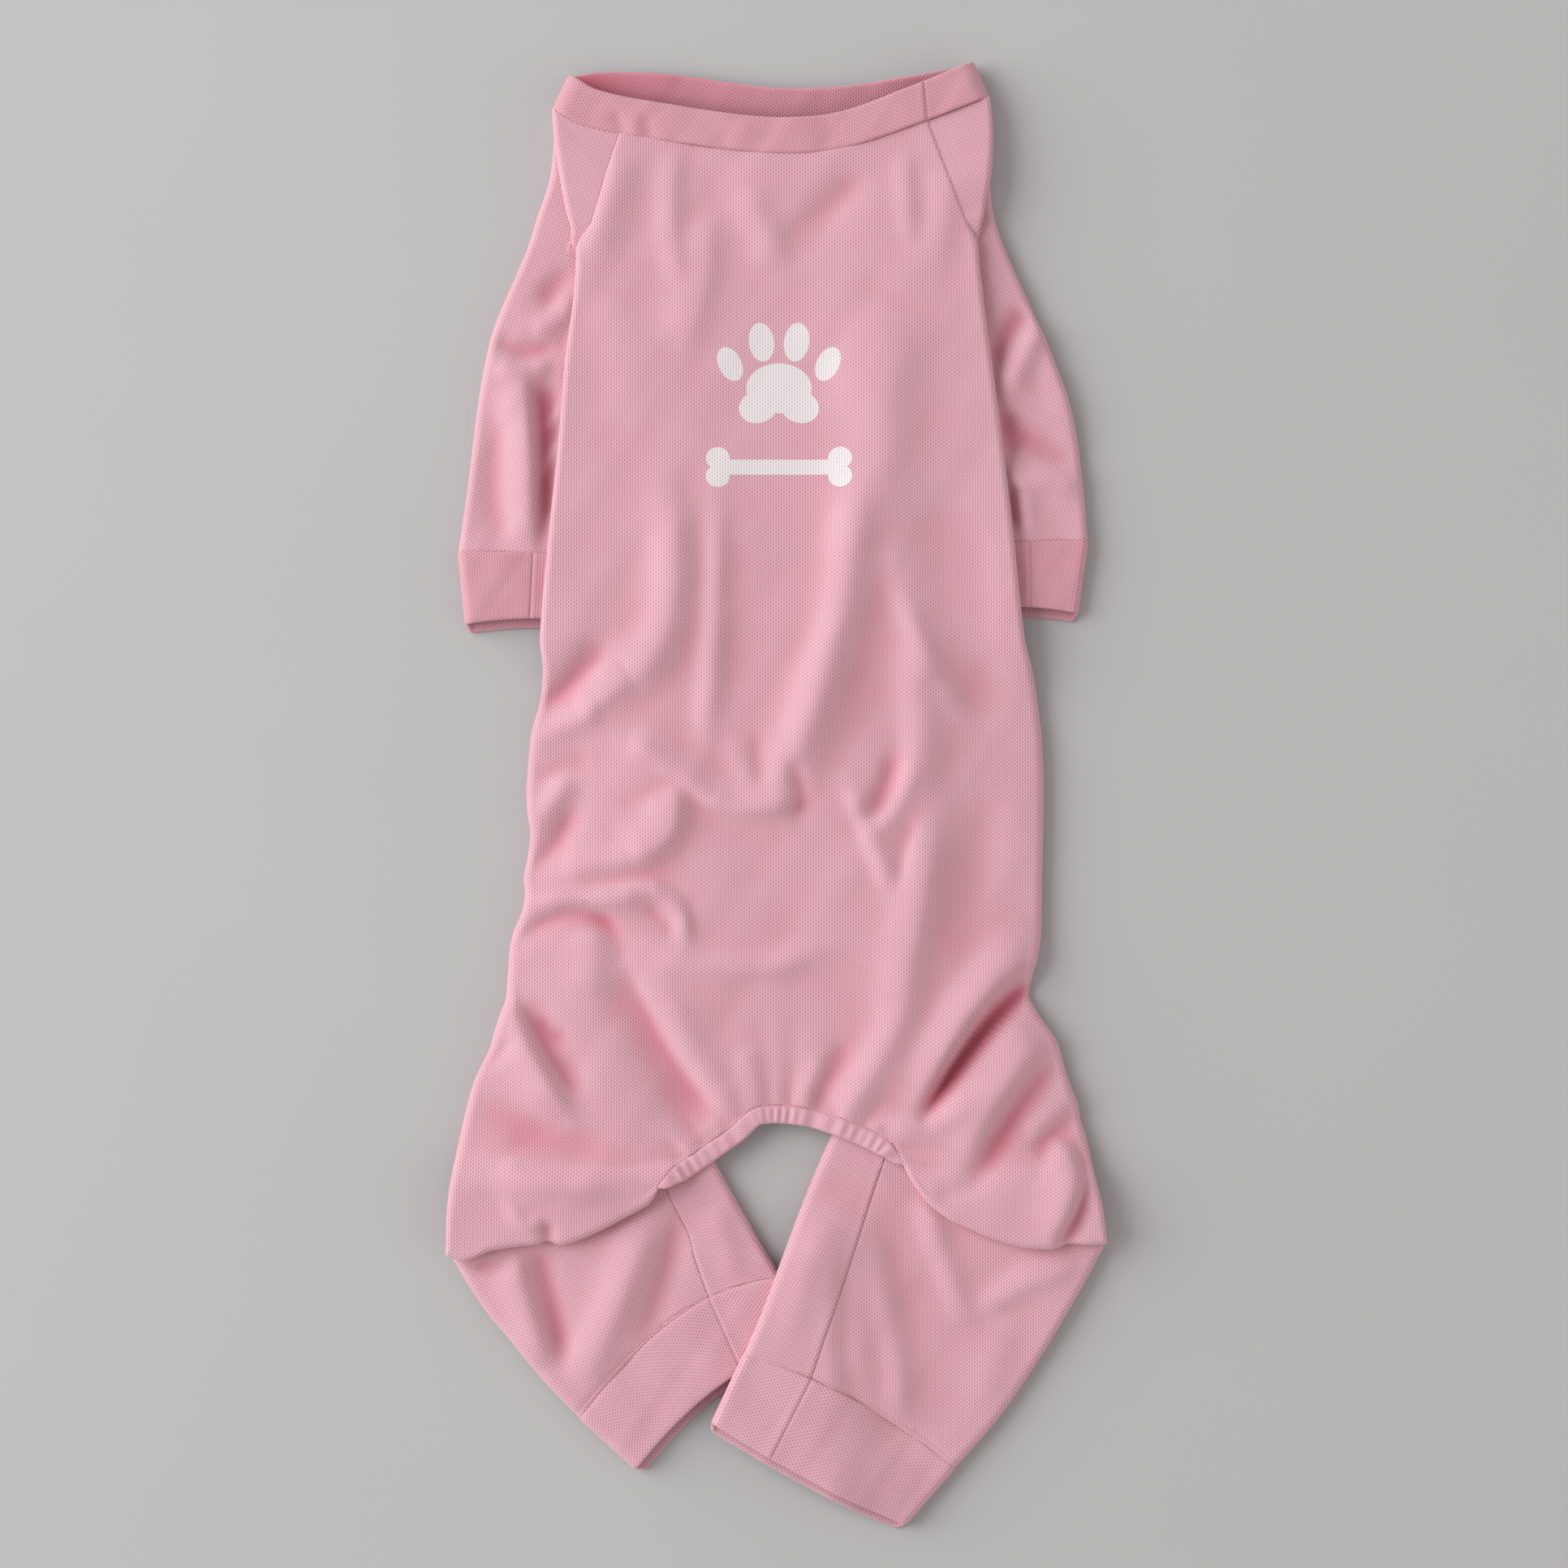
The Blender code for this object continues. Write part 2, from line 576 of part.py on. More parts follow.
def make_belly_panel(parts, colour):
    """The flat underside from the neck seam to the groin."""
    bm = bmesh.new()
    columns, rows = 8, 26
    gap = SEAM_GAP + CLOTH / 4

    def point(column, row):
        share = column / columns
        down = row / rows
        top = read_table(NECK_SEAM, (share - 0.5) * 1.15)[1]
        bottom = read_table(GROIN_EDGE, share)[0]
        along = top + (bottom - top) * down
        left, right = read_table(UNDER_SEAMS, along)
        across = left + (right - left) * share
        inset = gap / CHEST_HALF * (1 - 2 * share)
        trim = (SEAM_GAP / 2 - (SEAM_GAP / 2 + gap) * down) / BACK_LENGTH
        return place_at(across + inset, along + trim, FLOOR_LAYER)

    grid(bm, columns, rows, point)
    return cloth_object("belly_panel", bm, CLOTH, colour, parts)


def make_sleeve(side, parts, colour):
    """A raglan sleeve: an open strip over the shoulder that becomes a closed tube below the underarm."""
    stations = []
    for seam, fold, tuck, outer, under, top_share, over_share in SLEEVES[side]:
        top = FLOOR_LAYER + SLEEVE_LOFT * top_share
        over = FLOOR_LAYER + (OVER_CUFF - FLOOR_LAYER) * over_share
        outer_top, outer_low = place_at(*outer, top), place_at(*outer, FLOOR_LAYER)
        if fold:
            seam_height = top_height(*seam)
            first = place_at(*seam, seam_height)
            corners = [first, first.lerp(place_at(*fold, seam_height), 0.1)]
            corners += [place_at(*fold, seam_height), place_at(*fold, over)]
            corners += [place_at(*tuck, over), place_at(*tuck, top)]
        else:
            first = place_at(*seam, top)
            start = place_at(*seam, top if under else (top + FLOOR_LAYER) / 2)
            corners = [start] + [first.lerp(outer_top, share) for share in (0.02, 0.12, 0.2, 0.28, 0.36)]
        last = place_at(*(under or seam), FLOOR_LAYER)
        corners += [outer_top, outer_low, last.lerp(outer_low, 0.02)]
        corners.append(last if under else corners[0].copy())
        stations.append(corners)
    first_closed = [station[4] for station in SLEEVES[side]].index(None)
    rows = [row / 2 for row in range(2 * first_closed)] + list(range(first_closed, len(stations)))
    loops = []
    for row in rows:
        corners = between_stations(stations, row)
        for corner in corners:
            corner.z = max(corner.z, FLOOR_LAYER)
        if row >= first_closed:
            corners[-1] = corners[0].copy()
        loop = rounded_path(corners, OVER_CUFF, CORNER_STEPS, (1, 4, 1, 1, 1, 3, 1, 4, 1))
        if row == 0:
            for point in loop:
                point.y = neck_seam_y(point) - SEAM_GAP / 2
        loops.append(loop)
    bm = bmesh.new()
    loft(bm, loops)
    return cloth_object("front_sleeve_" + side, bm, CLOTH, colour, parts)


def make_front_cuff(side, parts, colour):
    inner, outer, inner_way, outer_way = FRONT_CUFFS[side]
    bm = bmesh.new()
    loops = []
    steps = 3
    for step in range(steps + 1):
        down = (SEAM_GAP + BAND_WALL / 4) + FRONT_CUFF_HEIGHT * step / steps
        ends = []
        for place, way in ((inner, inner_way), (outer, outer_way)):
            ends.append(place_at(*place) + Vector((*way, 0.0)).normalized() * down)
        loops.append(flat_tube_loop(*ends, BAND_WALL / 2, BAND_WALL / 2 + CUFF_LOFT, Vector(), 6))
    loft(bm, loops)
    return cloth_object("front_cuff_" + side, bm, BAND_WALL, colour, parts)


def crossing_lift(point):
    """How far the right lower leg is lifted where it lies on the left leg's cuff."""
    across, along = point.x / CHEST_HALF, -point.y / BACK_LENGTH
    sideways = 1 - smooth_step((across - 0.20) / 0.32)
    lengthways = smooth_step((along - 1.055) / 0.085)
    return CROSSING_LIFT * sideways * lengthways


def make_hind_leg(side, parts, colour):
    bm = bmesh.new()
    lift = crossing_lift if side == "right" else None
    table = []
    for i, (inner, outer, bow) in enumerate(HIND_LEGS[side]):
        table.append((i, *inner, *outer, *bow))
    rows = 2 * (len(table) - 1)
    loops = []
    for row in range(rows + 1):
        values = read_table(table, row / 2)
        inner, outer, bow = place_at(*values[0:2]), place_at(*values[2:4]), place_at(*values[4:6])
        loops.append(flat_tube_loop(inner, outer, FLOOR_LAYER, FLOOR_LAYER + LEG_LOFT, bow, 6, lift))
    loft(bm, loops)
    return cloth_object("hind_leg_" + side, bm, CLOTH, colour, parts)


def make_hind_cuff(side, parts, colour):
    bm = bmesh.new()
    lift = crossing_lift if side == "right" else None
    inner, outer, seam_bow = HIND_LEGS[side][-1]
    inner_way, outer_way, edge_bow = HIND_CUFFS[side]
    loops = []
    steps = 4
    for step in range(steps + 1):
        down = (SEAM_GAP + BAND_WALL / 4) + HIND_CUFF_HEIGHT * step / steps
        ends = []
        for place, way in ((inner, inner_way), (outer, outer_way)):
            ends.append(place_at(*place) + Vector((*way, 0.0)).normalized() * down)
        bow = place_at(*seam_bow).lerp(place_at(*edge_bow), step / steps)
        loops.append(flat_tube_loop(*ends, BAND_WALL / 2, BAND_WALL / 2 + CUFF_LOFT, bow, 8, lift))
    loft(bm, loops)
    return cloth_object("hind_cuff_" + side, bm, BAND_WALL, colour, parts)


def make_neckband(parts, colour):
    """The ring of doubled cloth at the neck, flattened, with its underside standing further up the page."""
    bm = bmesh.new()
    steps, across_steps = 3, 18
    low, high = BAND_WALL / 2, top_height(NECK_MIDDLE, 0.0) + (BAND_WALL - CLOTH) / 2
    radius = (high - low) / 2
    half_width = NECK_HALF * CHEST_HALF
    loops = []
    for step in range(steps + 1):
        up = SEAM_GAP + NECKBAND_HEIGHT * step / steps
        narrow = 1 - 0.076 * step / steps
        angles = [math.pi / 2 * k / 3 for k in range(3)]
        shares = [-1 + radius / half_width * (1 - math.cos(angle)) for angle in angles]
        inside = 1 - radius / half_width
        shares += [-inside + 2 * inside * k / across_steps for k in range(across_steps + 1)]
        shares += [-share for share in reversed(shares[:3])]
        loop = []
        for sign, layer in ((1, 0), (-1, 1)):
            for share in shares[:-1] if sign > 0 else list(reversed(shares))[:-1]:
                along = read_table(NECK_SEAM, share)[layer]
                from_end = min((1 - abs(share)) * half_width / radius, 1.0)
                rise = math.sqrt(max(1 - (1 - from_end) ** 2, 0.0))
                point = place_at(NECK_MIDDLE + NECK_HALF * share * narrow, along)
                point.y += up * (0.9 + 0.1 * rise)
                point.z = (low + high) / 2 + sign * radius * rise
                loop.append(point)
        loop.append(loop[0].copy())
        loops.append(loop)
    loft(bm, loops)
    return cloth_object("neckband", bm, BAND_WALL, colour, parts)


def make_rump_casing(parts, colour):
    """The gathered casing round the elastic along the rump's arc."""
    bm = bmesh.new()
    columns, rows = 40, 3
    gathers = 20
    reach = [column for column in range(BACK_COLUMNS + 1) if casing_share(panel_spread(column)) > 0.5]

    def point(column, row):
        place = reach[0] + (reach[-1] - reach[0]) * column / columns
        before = min(int(place), BACK_COLUMNS - 1)
        edge = top_point(before, BACK_ROWS).lerp(top_point(before + 1, BACK_ROWS), place - before)
        depth = CASING_HEIGHT * casing_share(panel_spread(place))
        ripple = math.sin(2 * math.pi * gathers * column / columns) * math.sin(math.pi * row / rows)
        down = SEAM_GAP + (depth - SEAM_GAP) * row / rows
        return edge + Vector((0.0, -down, CASING_WALL * 0.12 * ripple))

    grid(bm, columns, rows, point)
    return cloth_object("rump_casing", bm, CASING_WALL, colour, parts)


def stand_on_floor(pieces):
    """Parents all pieces to an empty that centres the laid jumpsuit over the origin, resting at z = 0."""
    bpy.context.view_layer.update()
    graph = bpy.context.evaluated_depsgraph_get()
    corners = [Vector(corner) for piece in pieces for corner in piece.evaluated_get(graph).bound_box]
    low = [min(corner[axis] for corner in corners) for axis in range(3)]
    high = [max(corner[axis] for corner in corners) for axis in range(3)]
    origin = bpy.data.objects.new("laid_jumpsuit", None)
    bpy.context.scene.collection.objects.link(origin)
    origin.location = (-(low[0] + high[0]) / 2, -(low[1] + high[1]) / 2, -low[2])
    for piece in pieces:
        piece.parent = origin


def main():
    for item in list(bpy.data.objects):
        bpy.data.objects.remove(item)
    parts = bpy.data.collections.new("dog_jumpsuit")
    bpy.context.scene.collection.children.link(parts)
    body_pink = (0.66, 0.36, 0.42)
    band_pink = (0.62, 0.31, 0.37)
    pieces = [
        make_neckband(parts, band_pink),
        make_back_panel(parts, body_pink),
        make_belly_panel(parts, body_pink),
        make_rump_casing(parts, body_pink),
    ]
    for side in ("left", "right"):
        pieces.append(make_sleeve(side, parts, body_pink))
        pieces.append(make_front_cuff(side, parts, band_pink))
        pieces.append(make_hind_leg(side, parts, body_pink))
        pieces.append(make_hind_cuff(side, parts, band_pink))
    stand_on_floor(pieces)


main()
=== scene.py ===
# %% [markdown]
# # A dog's jumpsuit of knitted mesh, laid flat
#
# The jumpsuit lies on its belly with the neck at +Y. It is one flattened tube for the body, four flattened
# tubes for the legs, and doubled bands at every opening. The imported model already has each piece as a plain
# wall of cloth, so it serves as the frame here, and each piece below takes the place of one of its walls.

# %% Load the frame
import math

import bmesh
import bpy
import numpy as np
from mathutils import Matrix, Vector


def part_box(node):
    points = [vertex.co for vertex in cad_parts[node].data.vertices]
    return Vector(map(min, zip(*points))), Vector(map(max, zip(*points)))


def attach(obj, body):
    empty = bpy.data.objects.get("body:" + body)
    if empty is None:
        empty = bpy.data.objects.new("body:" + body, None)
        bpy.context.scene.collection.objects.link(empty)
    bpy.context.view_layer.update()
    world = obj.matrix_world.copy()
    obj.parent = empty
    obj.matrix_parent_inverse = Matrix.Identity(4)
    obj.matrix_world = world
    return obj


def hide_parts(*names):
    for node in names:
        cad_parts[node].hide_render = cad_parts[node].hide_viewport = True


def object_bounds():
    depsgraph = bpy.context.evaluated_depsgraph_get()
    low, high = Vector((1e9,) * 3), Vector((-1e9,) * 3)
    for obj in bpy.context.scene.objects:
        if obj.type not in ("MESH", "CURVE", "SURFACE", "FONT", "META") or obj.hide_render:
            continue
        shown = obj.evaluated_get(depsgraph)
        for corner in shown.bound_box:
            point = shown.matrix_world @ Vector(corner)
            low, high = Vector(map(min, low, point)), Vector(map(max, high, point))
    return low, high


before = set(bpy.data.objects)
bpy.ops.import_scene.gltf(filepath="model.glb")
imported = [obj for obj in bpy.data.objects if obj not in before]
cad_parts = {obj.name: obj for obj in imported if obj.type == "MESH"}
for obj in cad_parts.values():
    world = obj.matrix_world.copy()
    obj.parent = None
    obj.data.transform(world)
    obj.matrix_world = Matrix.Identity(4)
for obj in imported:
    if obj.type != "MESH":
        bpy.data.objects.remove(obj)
cad_box = [[float(c) for c in corner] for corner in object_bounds()]
print("box of the packed model", cad_box)

# %% [markdown]
# The looks are judged against a photograph taken straight from above. The camera comes first, high over the
# floor with a long lens, as a product photographer would set it, so that near and far cloth keep one scale.

# %% Camera
VIEW_WIDTH = 0.773
VIEW_CENTRE = (0.0037, 0.0059)
CAMERA_HEIGHT = 1.9
SENSOR = 36.0

lens = bpy.data.cameras.new("overhead")
lens.sensor_width = SENSOR
lens.lens = SENSOR * CAMERA_HEIGHT / VIEW_WIDTH
camera = bpy.data.objects.new("overhead", lens)
camera.location = (*VIEW_CENTRE, CAMERA_HEIGHT)
bpy.context.scene.collection.objects.link(camera)
bpy.context.scene.camera = camera
print("lens", round(lens.lens, 1), "mm")

# %% [markdown]
# The cut has a few driving sizes, in metres. All places below are shares of two of them: "across" counts half
# chest widths from the middle of the back, and "along" counts back lengths from the neck seam.

# %% Sizes of the cut
BACK_LENGTH = 0.478
CHEST_HALF = 0.116
NECKBAND_HEIGHT = 0.0172
FRONT_CUFF_HEIGHT = 0.036
HIND_CUFF_HEIGHT = 0.037
CASING_HEIGHT = 0.0088

CLOTH = 0.0012
BAND_WALL = 0.0020
CASING_WALL = 0.0024
SEAM_LAP = 0.0003
LAY_GAP = 0.0006

SLEEVE_LOFT = 0.0070
CUFF_LOFT = 0.0070
LEG_LOFT = 0.0076
NECK_LOFT = 0.0118
SIDE_LOFT = 0.0076
SHOULDER_LOFT = 0.0060
THIGH_LOFT = 0.0066
CROWN_LOFT = 0.0130
HEM_HEIGHT = 0.0088
FOLD_LOFT = 0.0212

SOFT_REST = 0.0007
FLOOR_LAYER = CLOTH / 2
SLEEVE_TOP = FLOOR_LAYER + SLEEVE_LOFT
CUFF_TOP = BAND_WALL + CUFF_LOFT
OVER_CUFF = max(CUFF_TOP, SLEEVE_TOP + CLOTH / 2) + LAY_GAP + CLOTH / 2
OVER_LEG = FLOOR_LAYER + LEG_LOFT + CLOTH + LAY_GAP
CROSSING_LIFT = CUFF_TOP + LAY_GAP
THIGH_RETURN = 0.016

# %% [markdown]
# Outlines and seams are short tables read from the cloth's edges. A curve that is smooth through every
# row turns each table into an outline, so a handful of rows is enough.

# %% Outlines and seams of the body
# Side outline: along, across at the left, across at the right
BODY_SIDES = (
    (-0.055, -0.950, 0.891),
    (-0.030, -0.950, 0.905),
    (0.007, -0.936, 0.906),
    (0.046, -0.905, 0.888),
    (0.092, -0.856, 0.850),
    (0.140, -0.860, 0.864),
    (0.220, -0.902, 0.906),
    (0.300, -0.929, 0.950),
    (0.400, -0.971, 0.998),
    (0.500, -1.005, 1.043),
    (0.535, -0.995, 1.078),
    (0.600, -1.040, 1.116),
    (0.650, -1.066, 1.124),
    (0.700, -1.050, 1.122),
    (0.745, -1.078, 1.119),
    (0.772, -1.068, 1.118),
    (0.805, -1.126, 1.112),
    (0.846, -1.143, 1.076),
    (0.880, -1.162, 1.090),
    (0.915, -1.210, 1.176),
    (0.963, -1.298, 1.245),
    (1.022, -1.356, 1.316),
    (1.080, -1.396, 1.372),
    (1.140, -1.412, 1.409),
)

# Seams on the underside: along, left across, right across
UNDER_SEAMS = (
    (-0.050, -0.546, 0.530),
    (0.176, -0.552, 0.552),
    (0.250, -0.500, 0.500),
    (0.500, -0.500, 0.510),
    (0.600, -0.560, 0.600),
    (0.846, -0.620, 0.640),
    (0.930, -0.747, 0.760),
    (1.005, -0.891, 0.900),
    (1.065, -1.040, 1.040),
)

# Raglan seams on the back: along, left across, right across
RAGLAN = (
    (-0.030, -0.640, 0.630),
    (0.006, -0.694, 0.685),
    (0.050, -0.750, 0.752),
    (0.078, -0.784, 0.798),
    (0.108, -0.835, 0.842),
)
UNDERARM = 0.176

# Neck seam in the middle of the back, as along
NECK_LEVEL = 0.003
# Neck seam: share of its half width, along on the back, along on the underside
NECK_SEAM = (
    (-1.00, -0.042, -0.042),
    (-0.86, -0.025, -0.046),
    (-0.50, -0.010, -0.043),
    (0.00, NECK_LEVEL, -0.030),
    (0.33, -0.002, -0.031),
    (0.70, -0.029, -0.042),
    (1.00, -0.055, -0.055),
)
NECK_MIDDLE = -0.030
NECK_HALF = 0.920

# Lower edge of the thighs and rump: share of the half width, along beyond one back length
LOWER_EDGE = (
    (-1.000, 0.135),
    (-0.950, 0.140),
    (-0.870, 0.128),
    (-0.730, 0.121),
    (-0.640, 0.120),
    (-0.485, 0.097),
    (-0.290, 0.059),
    (-0.130, 0.023),
    (-0.050, 0.002),
    (0.010, -0.001),
    (0.126, 0.005),
    (0.297, 0.028),
    (0.420, 0.060),
    (0.480, 0.083),
    (0.560, 0.100),
    (0.740, 0.122),
    (0.860, 0.124),
    (1.000, 0.122),
)
CASING_ENDS = (-0.400, 0.430)
CASING_TAPER = 0.090

# Top wall above its lower layer: along, left edge, right edge, lower layer at the edges
BODY_HEIGHTS = (
    (-0.055, 1.00, 1.00, 0.0),
    (0.050, 0.95, 0.95, 0.6),
    (0.120, 0.85, 0.85, 1.0),
    (0.480, 0.85, 0.85, 1.0),
    (0.590, 1.00, 1.00, 0.0),
    (1.005, 1.05, 1.05, 0.0),
    (1.070, 0.95, 0.95, 1.0),
    (1.140, 0.90, 0.90, 1.0),
)

# The belly panel's edge towards the rump and legs: share of its width, along
GROIN_EDGE = (
    (0.00, 1.062),
    (0.18, 1.033),
    (0.33, 1.005),
    (0.40, 0.976),
    (0.49, 0.963),
    (0.58, 0.966),
    (0.65, 0.984),
    (0.82, 1.014),
    (1.00, 1.045),
)

# %% [markdown]
# Folds are what makes flat cloth look like cloth. Each one is a line through three points, with a height and
# a width on either side of it. A narrow side makes a crease, a wide one a soft swell, and a negative height
# a valley. They could be sculpted, but rows in a table stay readable and can be tuned one at a time.

# %% Folds of the back
# across and along of three points, height in fold lofts, half widths left and right in half chests
BACK_FOLDS = (
    # Neck and shoulders
    (-0.66, 0.000, -0.72, 0.060, -0.81, 0.115, 0.15, 0.09, 0.05),
    (-0.43, 0.000, -0.45, 0.070, -0.42, 0.140, 0.10, 0.05, 0.07),
    (-0.31, 0.060, -0.32, 0.140, -0.43, 0.210, 0.12, 0.07, 0.12),
    (-0.14, 0.040, -0.06, 0.080, 0.02, 0.125, 0.10, 0.07, 0.09),
    (0.38, 0.022, 0.20, 0.065, 0.05, 0.115, -0.13, 0.06, 0.07),
    (0.535, 0.005, 0.545, 0.050, 0.56, 0.100, 0.08, 0.045, 0.05),
    (0.72, 0.015, 0.70, 0.070, 0.66, 0.130, 0.10, 0.07, 0.09),
    (0.56, 0.160, 0.43, 0.280, 0.48, 0.410, 0.28, 0.15, 0.20),
    (0.48, 0.390, 0.55, 0.460, 0.66, 0.550, 0.12, 0.12, 0.09),
    (-0.02, 0.200, 0.03, 0.300, -0.02, 0.400, -0.12, 0.18, 0.20),
    (-0.62, 0.160, -0.66, 0.210, -0.60, 0.290, 0.08, 0.13, 0.12),
    # Left half, under the print
    (-0.47, 0.340, -0.455, 0.475, -0.66, 0.548, 0.30, 0.085, 0.11),
    (-0.62, 0.540, -0.72, 0.558, -0.84, 0.580, 0.16, 0.05, 0.09),
    (-0.255, 0.360, -0.265, 0.490, -0.31, 0.610, 0.17, 0.055, 0.065),
    (-0.20, 0.600, -0.16, 0.630, -0.10, 0.655, 0.05, 0.05, 0.05),
    # Ripples that run in from the left side fold
    (-0.74, 0.500, -0.86, 0.540, -1.04, 0.578, -0.24, 0.055, 0.055),
    (-1.07, 0.612, -0.92, 0.592, -0.74, 0.575, 0.15, 0.05, 0.055),
    (-1.07, 0.646, -0.93, 0.636, -0.78, 0.628, -0.09, 0.05, 0.05),
    (-1.09, 0.700, -0.98, 0.675, -0.88, 0.640, 0.15, 0.045, 0.05),
    (-1.10, 0.738, -0.96, 0.716, -0.86, 0.668, -0.18, 0.05, 0.055),
    # Curl on the left, its lip, and the crescent that runs on from it
    (-0.46, 0.650, -0.46, 0.700, -0.68, 0.731, 0.27, 0.05, 0.15),
    (-0.62, 0.726, -0.76, 0.734, -0.92, 0.738, 0.12, 0.035, 0.07),
    (-0.64, 0.610, -0.46, 0.630, -0.28, 0.663, 0.16, 0.07, 0.04),
    (-0.36, 0.655, -0.13, 0.676, 0.11, 0.660, 0.15, 0.09, 0.032),
    # Main ridge in the middle
    (0.34, 0.340, 0.235, 0.505, 0.00, 0.662, 0.36, 0.10, 0.10),
    (0.06, 0.625, 0.085, 0.652, 0.09, 0.684, -0.13, 0.045, 0.035),
    (-0.09, 0.595, -0.08, 0.625, -0.07, 0.650, -0.05, 0.045, 0.035),
    # Right half
    (0.56, 0.500, 0.60, 0.590, 0.60, 0.670, 0.19, 0.09, 0.09),
    (0.74, 0.360, 0.83, 0.480, 0.85, 0.590, -0.14, 0.11, 0.13),
    (0.52, 0.450, 0.64, 0.520, 0.80, 0.590, 0.09, 0.05, 0.055),
    (0.30, 0.650, 0.39, 0.700, 0.48, 0.760, 0.14, 0.055, 0.045),
    (0.50, 0.615, 0.44, 0.660, 0.34, 0.692, -0.14, 0.055, 0.045),
    (0.57, 0.620, 0.51, 0.670, 0.40, 0.697, 0.10, 0.045, 0.04),
    (0.58, 0.690, 0.53, 0.720, 0.50, 0.760, -0.08, 0.035, 0.045),
    (0.67, 0.680, 0.585, 0.790, 0.50, 0.900, 0.27, 0.08, 0.13),
    (0.90, 0.650, 0.83, 0.750, 0.74, 0.860, -0.12, 0.10, 0.11),
    # Ridge with its hook, and the soft one beyond it
    (-1.10, 0.770, -0.78, 0.768, -0.54, 0.757, 0.24, 0.038, 0.06),
    (-0.60, 0.754, -0.43, 0.772, -0.385, 0.812, 0.16, 0.026, 0.05),
    (-0.56, 0.772, -0.49, 0.790, -0.43, 0.806, -0.06, 0.03, 0.03),
    (-1.12, 0.815, -0.85, 0.780, -0.66, 0.815, -0.20, 0.04, 0.045),
    (-0.80, 0.795, -0.78, 0.830, -0.80, 0.870, 0.15, 0.08, 0.11),
    (-0.54, 0.824, -0.15, 0.840, 0.22, 0.816, 0.12, 0.06, 0.05),
    # Left hip
    (-1.17, 0.860, -1.04, 0.925, -0.88, 0.990, 0.27, 0.032, 0.11),
    (-1.08, 0.870, -0.98, 0.920, -0.82, 0.975, -0.14, 0.07, 0.03),
    (-1.00, 0.888, -0.96, 0.905, -0.88, 0.912, -0.09, 0.035, 0.035),
    (-0.66, 0.840, -0.46, 0.930, -0.26, 0.995, -0.22, 0.045, 0.14),
    (-0.49, 0.850, -0.33, 0.930, -0.16, 0.990, 0.11, 0.07, 0.06),
    (-1.28, 0.945, -1.20, 0.930, -1.12, 0.913, -0.14, 0.035, 0.035),
    (-1.34, 0.972, -1.08, 1.000, -0.72, 1.028, -0.12, 0.08, 0.09),
    (-1.16, 1.030, -1.00, 1.055, -0.58, 1.052, 0.18, 0.07, 0.08),
    (-1.14, 1.075, -1.06, 1.100, -0.97, 1.092, 0.09, 0.035, 0.035),
    (-0.99, 1.098, -0.975, 1.113, -0.96, 1.130, -0.16, 0.035, 0.025),
    # Right hip: the deep pocket, its overhanging lip and the bulge below it
    (1.12, 0.820, 0.86, 0.870, 0.62, 0.968, 0.33, 0.036, 0.12),
    (1.12, 0.850, 0.88, 0.900, 0.62, 0.990, -0.50, 0.042, 0.036),
    (1.14, 0.905, 0.96, 0.957, 0.78, 1.030, 0.30, 0.055, 0.13),
    (1.22, 0.930, 1.02, 0.985, 0.84, 1.060, -0.17, 0.055, 0.05),
    (0.84, 0.970, 0.64, 1.000, 0.44, 1.006, 0.12, 0.05, 0.06),
    (1.30, 0.955, 1.16, 0.990, 1.04, 1.010, 0.10, 0.045, 0.05),
    (1.32, 0.980, 1.19, 1.004, 1.08, 1.032, -0.16, 0.045, 0.05),
    (1.14, 1.018, 1.26, 1.055, 1.13, 1.122, 0.28, 0.034, 0.12),
    (1.27, 1.025, 1.29, 1.070, 1.18, 1.130, -0.28, 0.045, 0.034),
    (0.87, 1.040, 0.78, 1.065, 0.66, 1.070, -0.08, 0.05, 0.05),
    # Long soft fold that ends in the gathers of the rump
    (0.54, 0.870, 0.41, 0.940, 0.25, 0.990, 0.20, 0.07, 0.09),
    (0.30, 0.915, 0.22, 0.950, 0.13, 0.985, -0.08, 0.05, 0.045),
    (0.18, 0.930, 0.15, 0.955, 0.09, 0.985, 0.07, 0.04, 0.04),
    (-0.14, 0.920, -0.11, 0.950, -0.07, 0.985, 0.06, 0.05, 0.05),
)
# Slow swell of the whole back: wave lengths across and along in metres, phase, height in metres
SWELLS = (
    (0.110, 0.260, 0.4, 0.00035),
    (-0.070, 0.140, 2.1, 0.00025),
    (0.052, 0.095, 4.0, 0.00018),
    (-0.034, 0.060, 1.2, 0.00012),
    (0.027, -0.041, 2.7, 0.00007),
    (-0.019, 0.026, 5.1, 0.00004),
)

# %% [markdown]
# Reading a table between its rows, and adding up the folds, is done for whole arrays of places at once, so
# that dense grids stay quick.

# %% Reading tables and folds
FOLD_STEPS = 12
# How many of its widths away a fold is felt, where on the smooth step its height begins at its ends, and the
# share of its length that a whole smooth step would take
FOLD_REACH = 3
FOLD_END = 0.3
FOLD_FADE = 0.35


def smooth_step(value):
    value = np.clip(value, 0.0, 1.0)
    return value * value * (3 - 2 * value)


def keep_above(height, lowest):
    """Heights that level off softly before they sink below the lowest allowed."""
    return lowest + SOFT_REST * np.logaddexp(0.0, (height - lowest) / SOFT_REST)


